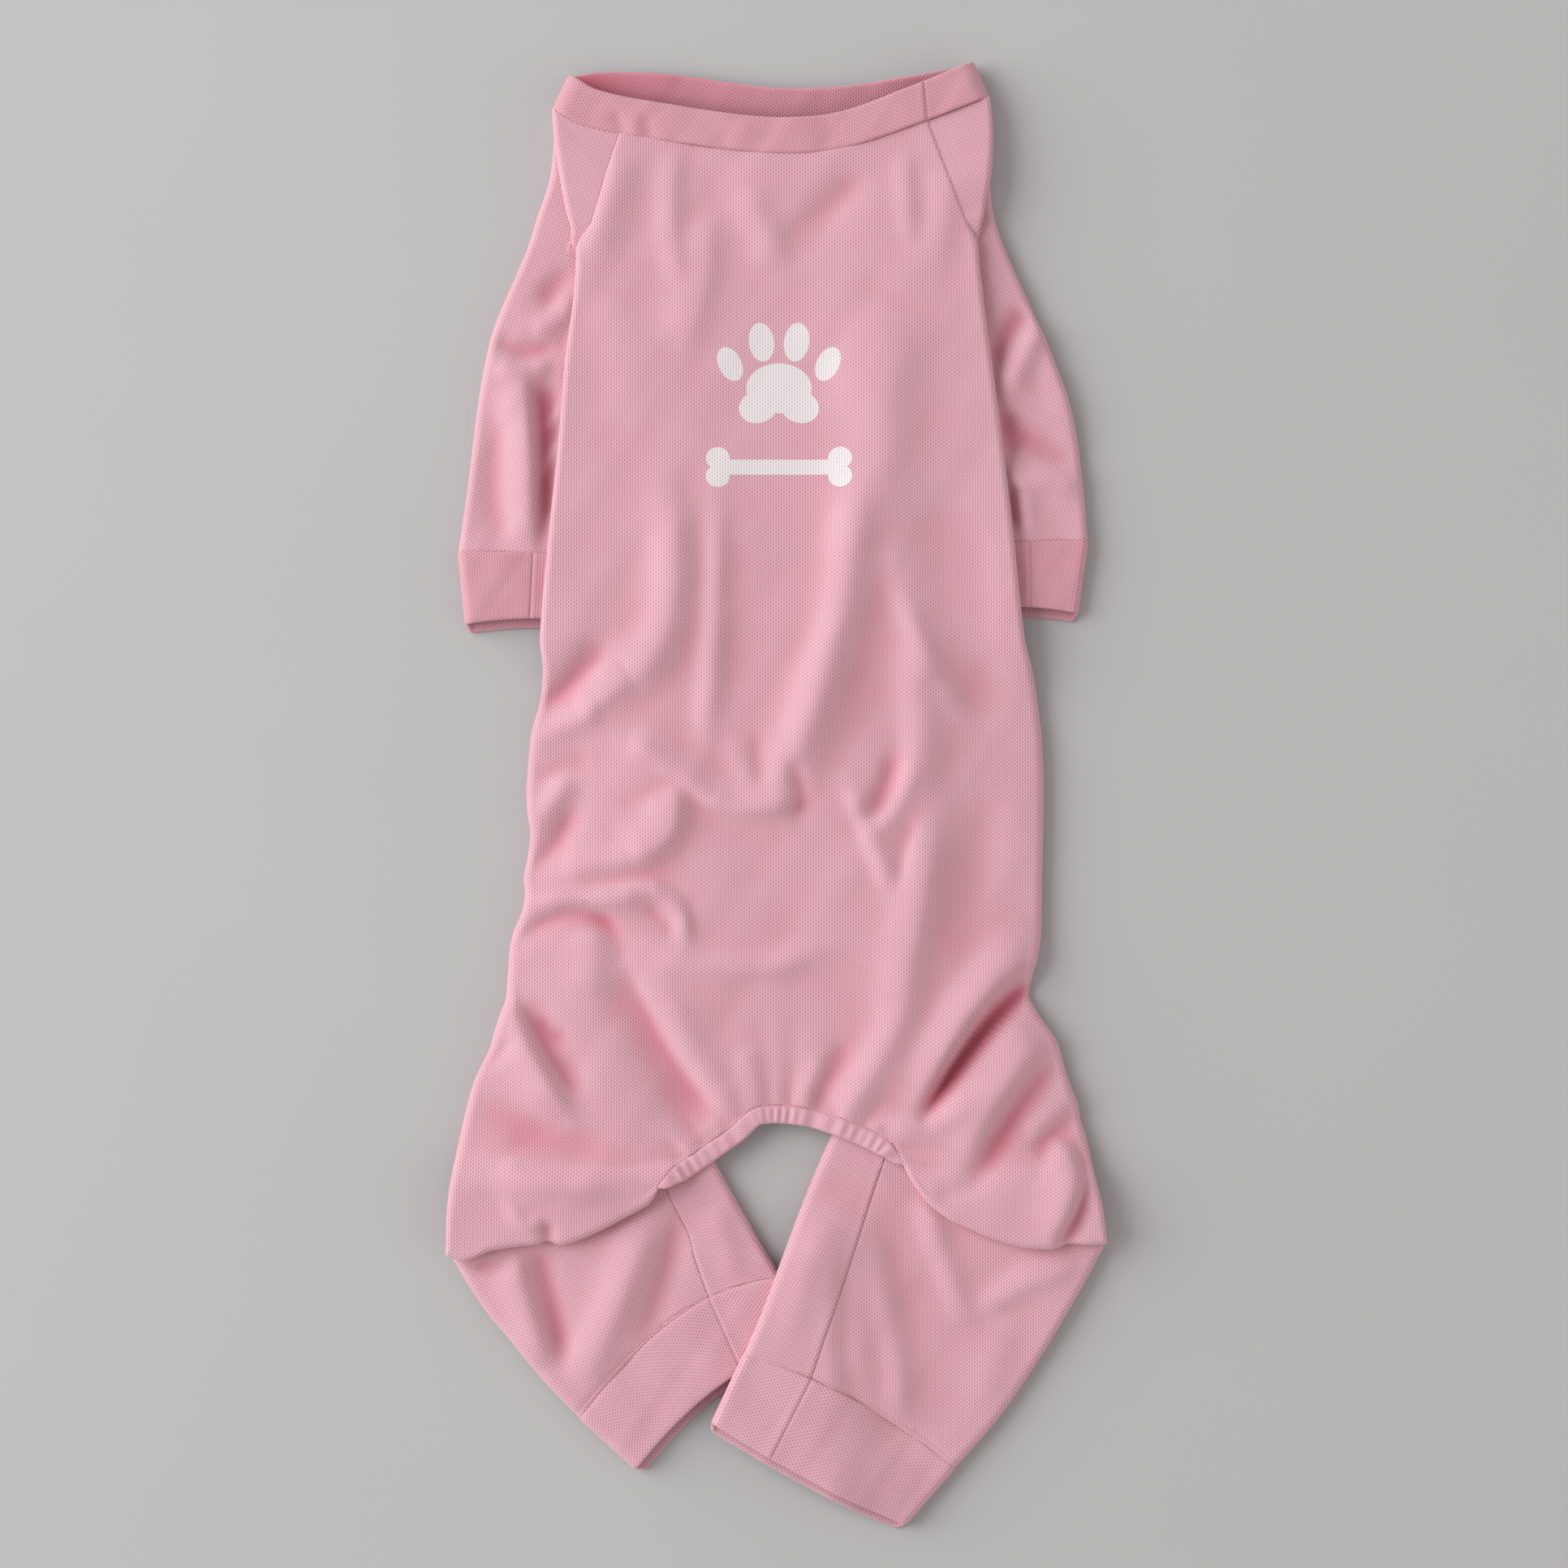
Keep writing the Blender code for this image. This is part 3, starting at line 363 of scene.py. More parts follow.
def read_table(rows, place):
    """The other columns of a table at places between its rows, on a curve that is smooth through each row."""
    rows = np.asarray(rows, dtype=float)
    place = np.asarray(place, dtype=float)
    last = len(rows) - 1
    i = np.searchsorted(rows[1:last, 0], place, side="left")
    here, there = rows[i], rows[i + 1]
    before, after = rows[np.maximum(i - 1, 0)], rows[np.minimum(i + 2, last)]
    span = there[..., :1] - here[..., :1]
    t = np.clip((place[..., None] - here[..., :1]) / span, 0.0, 1.0)
    leaving = (there - before) / (there[..., :1] - before[..., :1]) * span
    arriving = (after - here) / (after[..., :1] - here[..., :1]) * span
    values = here * (1 + 2 * t) * (1 - t) ** 2 + leaving * t * (1 - t) ** 2
    values += there * t * t * (3 - 2 * t) + arriving * t * t * (t - 1)
    return np.moveaxis(values[..., 1:], -1, 0)


def fold_relief(folds, across, along):
    """Height in fold lofts that a table of folds adds at places."""
    x, y = across * CHEST_HALF, -along * BACK_LENGTH
    x, y = np.broadcast_arrays(x, y)
    total = np.zeros(x.shape)
    steps = np.linspace(0.0, 1.0, FOLD_STEPS + 1)
    scale = np.array((CHEST_HALF, -BACK_LENGTH))
    for row in folds:
        start, middle, end = (np.array(row[k : k + 2]) * scale for k in (0, 2, 4))
        height, left, right = row[6], row[7] * CHEST_HALF, row[8] * CHEST_HALF
        pull = 2 * middle - (start + end) / 2
        line = [start * (1 - t) ** 2 + pull * 2 * t * (1 - t) + end * t * t for t in steps]
        reach = FOLD_REACH * max(left, right)
        corners = np.array(line)
        low, high = corners.min(axis=0) - reach, corners.max(axis=0) + reach
        near = (x > low[0]) & (x < high[0]) & (y > low[1]) & (y < high[1])
        if not near.any():
            continue
        px, py = x[near], y[near]
        nearest = np.full(px.shape, np.inf)
        turned = np.zeros(px.shape)
        along_line = np.zeros(px.shape)
        for t, a, b in zip(steps, line[:-1], line[1:]):
            run = b - a
            length = math.hypot(*run)
            ox, oy = px - a[0], py - a[1]
            share = np.clip((ox * run[0] + oy * run[1]) / length**2, 0.0, 1.0)
            dx, dy = ox - run[0] * share, oy - run[1] * share
            distance = np.hypot(dx, dy)
            closer = distance < nearest
            nearest = np.where(closer, distance, nearest)
            turned = np.where(closer, (run[0] * oy - run[1] * ox) / length, turned)
            along_line = np.where(closer, t + share * steps[1], along_line)
        # The two half widths blend across the line, so that a fold's blunt ends show no step
        side = smooth_step(0.5 + turned / (2 * np.maximum(nearest, 1e-6)))
        width = right + (left - right) * side
        fade = smooth_step(FOLD_END + along_line / FOLD_FADE)
        fade = fade * smooth_step(FOLD_END + (1 - along_line) / FOLD_FADE)
        total[near] += height * fade * np.exp(-((nearest / width) ** 2))
    return total


def shares_of(points):
    """across and along of points."""
    return points[..., 0] / CHEST_HALF, -points[..., 1] / BACK_LENGTH


def distances(line):
    """Distance along a line of points, at each point."""
    return np.concatenate(((0.0,), np.cumsum(np.linalg.norm(np.diff(line, axis=0), axis=1))))


def swell(x, y):
    """Slow uneven rise and fall of laid cloth, in metres."""
    total = 0.0
    for wave_x, wave_y, phase, height in SWELLS:
        total = total + height * np.sin(2 * math.pi * (x / wave_x + y / wave_y) + phase)
    return total


print("folds of the back:", len(BACK_FOLDS))

# %% [markdown]
# Every piece is a sheet of quads with its cut laid out in a UV map in metres, so that the knit keeps its true
# size and grain. The sheet is then given its thickness by Solidify, and its cut edges are rounded by Bevel.

# %% From points to a piece of cloth
LAID_AT = Vector((0.0, 0.0, 0.0))
EDGE_ROUND = 0.28
# How deep a corner lies among its neighbours sets the painted shade of its fold: rounds of smoothing, the depth
# below its surroundings for full painted shade, and the most painted shade
DEPTH_ROUNDS = 60
FULL_SHADE_DEPTH = 0.0028
DEEPEST_SHADE = 2.0
# Corners nearer than this are one
CLOTH_MERGE = CLOTH / 40
BAND_MERGE = 0.00002
pieces = {}


def add_grid(bm, points, cut):
    """A sheet of quads through rows and columns of points, with the cut's places in metres as its UV map."""
    layer = bm.loops.layers.uv.verify()
    rows, columns = points.shape[0] - 1, points.shape[1] - 1
    made = bmesh.ops.create_grid(bm, x_segments=columns, y_segments=rows, size=0.5)
    shift = np.array(LAID_AT)
    for vert in made["verts"]:
        column = round((vert.co.x + 0.5) * columns)
        row = round((vert.co.y + 0.5) * rows)
        vert.co = points[row, column] + shift
        for loop in vert.link_loops:
            loop[layer].uv = cut[row, column]


def keep_painted_fold_shade(mesh):
    """Keeps on each corner how deep it lies, as painted shade that turns the folds a deeper pink: 0 on crests
    and flats, 1 at the full shade depth below its surroundings, and the deepest shade at most.
    """
    count = len(mesh.vertices)
    places = np.empty(count * 3)
    mesh.vertices.foreach_get("co", places)
    heights = places[2::3]
    ends = np.empty(len(mesh.edges) * 2, dtype=int)
    mesh.edges.foreach_get("vertices", ends)
    a, b = ends[0::2], ends[1::2]
    neighbours = np.bincount(a, minlength=count) + np.bincount(b, minlength=count)
    around = heights.copy()
    for _ in range(DEPTH_ROUNDS):
        total = np.bincount(a, around[b], count) + np.bincount(b, around[a], count)
        around = total / np.maximum(neighbours, 1)
    depth = np.clip((around - heights) / FULL_SHADE_DEPTH, 0.0, DEEPEST_SHADE)
    mesh.attributes.new("painted_fold_shade", "FLOAT", "POINT").data.foreach_set("value", depth)


def show(name, data):
    """An object in the scene that holds a mesh, a light or a camera."""
    shown = bpy.data.objects.new(name, data)
    bpy.context.scene.collection.objects.link(shown)
    return shown


def finished_mesh(name, bm):
    mesh = bpy.data.meshes.new(name)
    bm.to_mesh(mesh)
    bm.free()
    return mesh


def mesh_object(name, bm, merge):
    """A piece from sheets of quads, joined where their corners meet."""
    bmesh.ops.remove_doubles(bm, verts=bm.verts, dist=merge)
    bmesh.ops.recalc_face_normals(bm, faces=bm.faces)
    mesh = finished_mesh(name, bm)
    # Painted shade: each corner stores how deep it lies, so that folds are painted a deeper pink
    keep_painted_fold_shade(mesh)
    mesh.shade_smooth()
    return show(name, mesh)


def dress(piece, node, material):
    """Gives a piece its material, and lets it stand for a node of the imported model."""
    piece.data.materials.append(material)
    if node:
        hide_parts(node)
    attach(piece, "root")
    pieces[piece.name] = piece


def wall_of(piece, wall):
    """Thickness for a sheet, with its cut edges rounded."""
    solidify = piece.modifiers.new("Cloth wall", "SOLIDIFY")
    solidify.thickness = wall
    solidify.offset = 0.0
    bevel = piece.modifiers.new("Rounded edges", "BEVEL")
    bevel.width = wall * EDGE_ROUND
    bevel.segments = 2
    bevel.limit_method = "ANGLE"
    bevel.angle_limit = math.radians(60)


def cloth_piece(node, sheets, material):
    """A piece of single cloth from grids of points and their cuts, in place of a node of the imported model."""
    bm = bmesh.new()
    for points, cut in sheets:
        add_grid(bm, points, cut)
    piece = mesh_object(f"{node}_cloth", bm, CLOTH_MERGE)
    wall_of(piece, CLOTH)
    dress(piece, node, material)
    print(piece.name, len(piece.data.polygons), "quads")
    return piece


def measured_area(piece):
    """Area of one side of a piece's wall, in square metres."""
    graph = bpy.context.evaluated_depsgraph_get()
    mesh = piece.evaluated_get(graph).to_mesh()
    return sum(face.area for face in mesh.polygons) / 2


# %% [markdown]
# ## The knit
#
# The cloth is a fine mesh knit: columns of small dimples 1.3 mm apart, each column half a step below its
# neighbour, like laid bricks. A picture could be tiled over it, but a pattern worked out by nodes from the
# UV map stays sharp at any distance. The same dimples push the surface in, and darken the colour as painted
# shade in their pits.

# %% Node helpers
KNIT_COLUMN = 0.00130
KNIT_ROW = 0.00172
# Half size of a dimple as a share of its column and its row, and where its floor ends and its rim begins
DIMPLE_HALF_WIDTH = 0.46
DIMPLE_HALF_HEIGHT = 0.40
DIMPLE_FLOOR = 0.25
DIMPLE_RIM = 1.05


class Nodes:
    """Adds nodes to a material and joins them, so that a pattern reads like arithmetic."""

    def __init__(self, name):
        self.material = bpy.data.materials.new(name)
        self.material.use_nodes = True
        self.tree = self.material.node_tree
        self.shader = self.tree.nodes["Principled BSDF"]

    def add(self, kind, **settings):
        node = self.tree.nodes.new(kind)
        for key, value in settings.items():
            setattr(node, key, value)
        return node

    def join(self, value, socket):
        if isinstance(value, bpy.types.NodeSocket):
            self.tree.links.new(value, socket)
        else:
            socket.default_value = value

    def math(self, operation, a, b=0.0):
        node = self.add("ShaderNodeMath", operation=operation)
        self.join(a, node.inputs[0])
        self.join(b, node.inputs[1])
        return node.outputs[0]

    def ramp(self, value, low, high, to_low, to_high):
        node = self.add("ShaderNodeMapRange", interpolation_type="SMOOTHSTEP")
        for socket, number in zip(node.inputs[:5], (value, low, high, to_low, to_high)):
            self.join(number, socket)
        return node.outputs["Result"]

    def mix(self, share, a, b):
        node = self.add("ShaderNodeMix", data_type="RGBA")
        self.join(share, node.inputs[0])
        for value, socket in ((a, node.inputs[6]), (b, node.inputs[7])):
            self.join(value if isinstance(value, bpy.types.NodeSocket) else (*value, 1.0), socket)
        return node.outputs[2]

    def noise(self, vector, scale, detail):
        node = self.add("ShaderNodeTexNoise")
        self.join(vector, node.inputs["Vector"])
        node.inputs["Scale"].default_value = scale
        node.inputs["Detail"].default_value = detail
        return node.outputs["Fac"]


def add_knit(nodes):
    """The staggered dimples on the cut: 1 in the middle of a dimple, 0 between. Gives the UV socket too."""
    cut = nodes.add("ShaderNodeUVMap").outputs["UV"]
    parts = nodes.add("ShaderNodeSeparateXYZ")
    nodes.join(cut, parts.inputs[0])
    column = nodes.math("DIVIDE", parts.outputs["X"], KNIT_COLUMN)
    odd = nodes.math("PINGPONG", nodes.math("FLOOR", column), 1.0)
    row = nodes.math("DIVIDE", parts.outputs["Y"], KNIT_ROW)
    row = nodes.math("ADD", row, nodes.math("MULTIPLY", odd, 0.5))
    beside = nodes.math("SUBTRACT", nodes.math("FRACT", column), 0.5)
    above = nodes.math("SUBTRACT", nodes.math("FRACT", row), 0.5)
    beside = nodes.math("POWER", nodes.math("DIVIDE", beside, DIMPLE_HALF_WIDTH), 2.0)
    above = nodes.math("POWER", nodes.math("DIVIDE", above, DIMPLE_HALF_HEIGHT), 2.0)
    distance = nodes.math("SQRT", nodes.math("ADD", beside, above))
    return nodes.ramp(distance, DIMPLE_FLOOR, DIMPLE_RIM, 1.0, 0.0), cut


# %% [markdown]
# The pink is not one colour. Dimples are deeper, as painted shade in their pits, folds are painted a deeper
# pink as shade by how deep they lie, the cloth is a little uneven over a few centimetres, and a faint fuzz of
# fibres catches the light at grazing angles, which is what the sheen lobe is for.

# %% The knit's material
KNIT_LIGHT = (0.735, 0.425, 0.490)
KNIT_DEEP = (0.555, 0.195, 0.255)
BAND_LIGHT = (0.690, 0.350, 0.415)
BAND_DEEP = (0.520, 0.165, 0.225)
FIBRE_TINT = (1.0, 0.88, 0.90)
# Painted shade: the deeper pink that folds take by how deep they lie, and its share at full depth
PAINTED_SHADE_TINT = (0.60, 0.130, 0.190)
PAINTED_SHADE_TINT_SHARE = 0.45
# Shares of the deep colour as painted shade in the dimples and as uneven tone in slow clouds, and of the relief
# in fuzz and ink
DIMPLE_SHADE_TINT = 0.62
CLOUD_TINT = 0.10
FUZZ_RELIEF = 0.35
INK_RELIEF = 0.35
KNIT_RELIEF = 0.00022
CASING_RELIEF = 0.00014


def knit_material(name, light, deep, print_mask=None, relief=KNIT_RELIEF):
    nodes = Nodes(name)
    dimple, cut = add_knit(nodes)
    cloudy = nodes.ramp(nodes.noise(cut, 28.0, 2.0), 0.3, 0.7, 0.0, CLOUD_TINT)
    fuzz = nodes.noise(cut, 2600.0, 2.0)
    # Painted shade in the dimples' pits, and uneven tone in slow clouds
    share = nodes.math("ADD", nodes.math("MULTIPLY", dimple, DIMPLE_SHADE_TINT), cloudy)
    colour = nodes.mix(share, light, deep)
    # Painted shade: folds turn a deeper pink by how deep each corner lies
    painted_shade = nodes.add("ShaderNodeAttribute", attribute_name="painted_fold_shade").outputs["Fac"]
    colour = nodes.mix(nodes.math("MULTIPLY", painted_shade, PAINTED_SHADE_TINT_SHARE), colour, PAINTED_SHADE_TINT)
    height = nodes.math("SUBTRACT", nodes.math("MULTIPLY", fuzz, FUZZ_RELIEF), dimple)
    if print_mask:
        ink, ink_colour = print_mask(nodes, cut, dimple)
        colour = nodes.mix(ink, colour, ink_colour)
        height = nodes.math("ADD", height, nodes.math("MULTIPLY", ink, INK_RELIEF))
    nodes.join(colour, nodes.shader.inputs["Base Color"])
    bump = nodes.add("ShaderNodeBump")
    bump.inputs["Strength"].default_value = 0.75
    bump.inputs["Distance"].default_value = relief
    nodes.join(height, bump.inputs["Height"])
    nodes.join(bump.outputs["Normal"], nodes.shader.inputs["Normal"])
    nodes.shader.inputs["Roughness"].default_value = 0.82
    nodes.shader.inputs["Specular IOR Level"].default_value = 0.22
    nodes.shader.inputs["Sheen Weight"].default_value = 0.50
    nodes.shader.inputs["Sheen Roughness"].default_value = 0.60
    nodes.shader.inputs["Sheen Tint"].default_value = (*FIBRE_TINT, 1.0)
    return nodes.material


# %% [markdown]
# The chest carries a white print. Here it is a plain paw over a bone, two shapes that anyone may draw. Ink on
# knit follows every fold, so it is not a separate decal: ellipses on the cut's own map are joined into a mask
# that turns the pink to white, and the dimples still show through it.

# %% The print on the back
# Each ellipse: centre across and up in metres from the print's middle, half width, half height, and its turn
# in degrees
PAW = (
    (0.0000, 0.0030, 0.0160, 0.0122, 0),
    (-0.0100, -0.0058, 0.0098, 0.0080, 22),
    (0.0100, -0.0058, 0.0098, 0.0080, -22),
    (-0.0086, 0.0256, 0.0062, 0.0095, 8),
    (0.0086, 0.0256, 0.0062, 0.0095, -8),
    (-0.0240, 0.0148, 0.0056, 0.0087, 26),
    (0.0240, 0.0148, 0.0056, 0.0087, -26),
)
BONE_KNOBS = (
    (-0.0300, -0.0312, 0.0058, 0.0054, 0),
    (-0.0300, -0.0400, 0.0058, 0.0054, 0),
    (0.0300, -0.0312, 0.0058, 0.0054, 0),
    (0.0300, -0.0400, 0.0058, 0.0054, 0),
)
BONE_MIDDLE = -0.0356
BONE_HALF_LENGTH = 0.0285
BONE_HALF_WIDTH = 0.0037
PRINT_MIDDLE = (0.0006, -0.1200)
INK = (0.80, 0.76, 0.77)
INK_WORN = 0.22


def print_mask(nodes, cut, dimple):
    """Where the ink lies, from 0 to 1, and its colour."""
    ink = 0.0
    for across, up, half_width, half_height, turn in (*PAW, *BONE_KNOBS):
        place = nodes.add("ShaderNodeMapping", vector_type="TEXTURE")
        nodes.join(cut, place.inputs["Vector"])
        place.inputs["Location"].default_value = (PRINT_MIDDLE[0] + across, PRINT_MIDDLE[1] + up, 0.0)
        place.inputs["Rotation"].default_value = (0.0, 0.0, math.radians(turn))
        place.inputs["Scale"].default_value = (half_width, half_height, 1.0)
        length = nodes.add("ShaderNodeVectorMath", operation="LENGTH")
        nodes.join(place.outputs["Vector"], length.inputs[0])
        ink = nodes.math("MAXIMUM", ink, nodes.ramp(length.outputs["Value"], 0.97, 1.03, 1.0, 0.0))
    parts = nodes.add("ShaderNodeSeparateXYZ")
    nodes.join(cut, parts.inputs[0])
    sideways = nodes.math("ABSOLUTE", nodes.math("SUBTRACT", parts.outputs["X"], PRINT_MIDDLE[0]))
    upwards = nodes.math("SUBTRACT", parts.outputs["Y"], PRINT_MIDDLE[1] + BONE_MIDDLE)
    in_length = nodes.math("LESS_THAN", sideways, BONE_HALF_LENGTH)
    in_width = nodes.math("LESS_THAN", nodes.math("ABSOLUTE", upwards), BONE_HALF_WIDTH)
    ink = nodes.math("MAXIMUM", ink, nodes.math("MULTIPLY", in_length, in_width))
    worn = nodes.math("SUBTRACT", 1.0, nodes.math("MULTIPLY", dimple, INK_WORN))
    return nodes.math("MULTIPLY", ink, worn), INK


back_knit = knit_material("back_knit", KNIT_LIGHT, KNIT_DEEP, print_mask)
mesh_knit = knit_material("mesh_knit", KNIT_LIGHT, KNIT_DEEP)
band_knit = knit_material("band_knit", BAND_LIGHT, BAND_DEEP)
casing_knit = knit_material("casing_knit", KNIT_LIGHT, KNIT_DEEP, relief=CASING_RELIEF)
print("materials:", back_knit.name, mesh_knit.name, band_knit.name, casing_knit.name)

# %% [markdown]
# ## The belly panel
#
# The underside is one flat panel from the neck to the groin, sewn to the back panel along two seams. It is
# made first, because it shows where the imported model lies: the difference between its own corners and the
# frame's corners for the same node is how far everything has to be shifted.

# %% Belly panel
BELLY_COLUMNS = 24
BELLY_ROWS = 90


def belly_points():
    share = np.linspace(0.0, 1.0, BELLY_COLUMNS + 1)[None, :]
    down = np.linspace(0.0, 1.0, BELLY_ROWS + 1)[:, None]
    top = read_table(NECK_SEAM, (share - 0.5) * 1.15)[1]
    bottom = read_table(GROIN_EDGE, share)[0]
    along = top + (bottom - top) * down
    left, right = read_table(UNDER_SEAMS, along)
    across = left + (right - left) * share
    height = np.full(across.shape, FLOOR_LAYER)
    return np.stack((across * CHEST_HALF, -along * BACK_LENGTH, height), axis=-1)


belly = belly_points()
low, high = (Vector(corner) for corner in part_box("belly_panel"))
middle = Vector((belly.min(axis=(0, 1)) + belly.max(axis=(0, 1))) / 2)
LAID_AT = (low + high) / 2 - middle
print("everything is shifted by", [round(c * 1000, 2) for c in LAID_AT], "mm")

cloth_piece("belly_panel", [(belly, belly[..., :2])], mesh_knit)

# %% [markdown]
# ## The back panel
#
# The back is a crowned sheet that rolls round both side folds to the seams underneath, and folds back at the
# thighs. A simulation would crumple it in its own way, so its folds are listed one by one instead: the sheet
# is one dense grid whose height is the crown plus the table of folds, and its free edge is swept round a half
# turn to make the rolled sides.

# %% Heights of the back
CASING_SLOPE_LIMIT = 1.35
# Half width of the hem, in half chests
HEM_HALF = 1.4
# Where the body leaves the neck, lies on the sleeves, dips to the hem and lies on the legs, all as along: the
# values that end in RAMP or FADE are lengths of the change
NECK_FADE = 0.08
ON_SLEEVE_RAMP = 0.10
OFF_SLEEVE = 0.48
OFF_SLEEVE_RAMP = 0.12
WAIST = 0.80
WAIST_RAMP = 0.20
ON_LEG = 1.02
ON_LEG_RAMP = 0.10
# Half width of the part of the hem that lies low, in half chests, and the share of the folds that is lost at
# the side folds
LOW_HEM_HALF = 0.75
LOST_AT_SIDE = 0.6


def layer_level(along):
    """Level of the body's lower layer at its side folds: on the floor, or over a sleeve or a leg."""
    rise = smooth_step(read_table(BODY_HEIGHTS, along)[2])
    over = np.where(along < WAIST, OVER_CUFF, OVER_LEG)
    return FLOOR_LAYER + (over - FLOOR_LAYER) * rise


def top_height(across, along):
    """Height of the middle of the top wall."""
    left, right = read_table(BODY_SIDES, along)
    left_share, right_share, _ = read_table(BODY_HEIGHTS, along)
    spread = np.clip(2 * (across - left) / (right - left) - 1, -1.0, 1.0)
    over_sleeve = smooth_step(along / ON_SLEEVE_RAMP)
    over_sleeve = over_sleeve * (1 - smooth_step((along - OFF_SLEEVE) / OFF_SLEEVE_RAMP))
    over_leg = smooth_step((along - ON_LEG) / ON_LEG_RAMP)
    loft = SIDE_LOFT + (SHOULDER_LOFT - SIDE_LOFT) * over_sleeve + (THIGH_LOFT - SIDE_LOFT) * over_leg
    loft = loft + (NECK_LOFT - loft) * (1 - smooth_step(along / NECK_FADE))
    edge = layer_level(along) + loft * np.where(spread < 0, left_share, right_share)
    towards_hem = smooth_step((along - WAIST) / WAIST_RAMP) * (1 - smooth_step(np.abs(across) / LOW_HEM_HALF))
    crown = FLOOR_LAYER + CROWN_LOFT
    crown = crown + (HEM_HEIGHT - crown) * towards_hem
    crown = np.where(along > ON_LEG, np.maximum(crown, edge), crown)
    height = crown + (edge - crown) * np.abs(spread) ** 3
    inner = 1 - LOST_AT_SIDE * np.abs(spread) ** 10
    height = height + FOLD_LOFT * inner * fold_relief(BACK_FOLDS, across, along)
    height = height + inner * swell(across * CHEST_HALF, -along * BACK_LENGTH)
    return keep_above(height, layer_level(along) + 2 * CLOTH)


def casing_share(spread):
    """Height of the elastic casing across the rump, as a share of its full height."""
    from_left = smooth_step((spread - CASING_ENDS[0]) / CASING_TAPER)
    return from_left * smooth_step((CASING_ENDS[1] - spread) / CASING_TAPER)


def casing_depth(spread):
    """Height of the casing measured down the page: more where the rump's arc is steep."""
    step = 0.01
    rise = read_table(LOWER_EDGE, spread + step)[0] - read_table(LOWER_EDGE, spread - step)[0]
    slope = rise * BACK_LENGTH / (2 * step * HEM_HALF * CHEST_HALF)
    return CASING_HEIGHT * casing_share(spread) * np.minimum(np.hypot(1.0, slope), CASING_SLOPE_LIMIT)


# %% [markdown]
# The rump's elastic pulls the cloth into small gathers. They start at the casing's stitching, a few
# millimetres apart and uneven, and spread out and fade over a few centimetres.

# %% Gathers at the rump
# Where gathers are strong: spread, share of full strength
GATHER_STRENGTH = (
    (-0.40, 0.80),
    (-0.30, 0.95),
    (-0.20, 0.75),
    (-0.10, 0.55),
    (0.00, 0.70),
    (0.10, 1.00),
    (0.25, 0.85),
    (0.35, 1.00),
    (0.43, 0.90),
)
# Where the gathers begin at the left and begin to fade at the right, and over what share they do
GATHER_ENDS = (-0.46, 0.40)
GATHER_RAMP = 0.1
GATHER_PITCH = 0.0028
# What makes the pitch uneven: turns gained and lost, over what length in metres, phase
GATHER_UNEVEN = (
    (0.95, 0.0071, 0.0),
    (0.70, 0.0163, 1.3),
)
# A broad gather's width in fine ones, its phase, and the height over which gathers rise from the stitching
BROAD_WIDTH = 2.6
BROAD_PHASE = 0.8
GATHER_RISE = 0.0015
FINE_GATHER = 0.00042
BROAD_GATHER = 0.00105
FINE_REACH = 0.011
BROAD_REACH = 0.024
GATHER_FAN = 0.075


def gather_phase(x):
    """Turns of the gathers' wave at a place across the rump, unevenly spaced."""
    turns = x / GATHER_PITCH
    for size, length, phase in GATHER_UNEVEN:
        turns = turns + size * np.sin(x / length + phase)
    return turns


def rump_gathers(x, spread, above):
    """Relief in metres of the gathered cloth at a distance above the casing."""
    strength = read_table(GATHER_STRENGTH, np.clip(spread, *CASING_ENDS))[0]
    held = strength * smooth_step((spread - GATHER_ENDS[0]) / GATHER_RAMP)
    held = held * (1 - smooth_step((spread - GATHER_ENDS[1]) / GATHER_RAMP))
    turns = gather_phase(x / (1 + above / GATHER_FAN))
    fine = FINE_GATHER * np.sin(math.pi * turns) * np.exp(-above / FINE_REACH)
    broad = BROAD_GATHER * np.sin(math.pi * turns / BROAD_WIDTH + BROAD_PHASE) * np.exp(-above / BROAD_REACH)
    return held * (fine + broad) * smooth_step(above / GATHER_RISE + 0.25)


# %% Places on the back panel
BACK_COLUMNS = 156
BACK_ROWS = 214
ROLL_START = 0.076
ROLL_RAMP = 0.032
HEM_START = 0.90
HEM_RAMP = 0.10
# Rough half width of the back between its rolled sides, for the spacing of its columns
PANEL_HALF = 0.8 * CHEST_HALF
# Extra rows beside a sewn edge, which turns down into its seam: distances from the edge
EDGE_ROWS = np.array((0.0, 0.0004, 0.0009, 0.0016))
EDGE_TURN = 0.0008
EDGE_REACH = 0.0006


def past_raglan(along):
    """0 along the raglan seam, 1 where the back rolls round its side fold."""
    return smooth_step((along - ROLL_START) / ROLL_RAMP)


def hem_share(row):
    """0 on most rows of the back, 1 on its last row, at the hem."""
    return smooth_step((row - HEM_START) / HEM_RAMP)


def edge_turn(distance):
    """How far cloth at a distance from its sewn edge turns down towards the seam."""
    return EDGE_TURN * np.exp(-((distance / EDGE_REACH) ** 2))


def back_row_along(spread, row):
    """Along the back on one row of the panel, before any inset."""
    neck_fade = 1 - smooth_step(row / 0.25)
    rump_fade = smooth_step((row - 0.60) / 0.40)
    across = spread * (0.66 + 0.30 * smooth_step(row / 0.3))
    neck_share = np.clip((across - NECK_MIDDLE) / NECK_HALF, -1, 1)
    neck_shape = read_table(NECK_SEAM, neck_share)[0] - NECK_LEVEL
    rump_shape = read_table(LOWER_EDGE, spread)[0]
    return row + NECK_LEVEL * (1 - row) + neck_fade * neck_shape + rump_fade * rump_shape


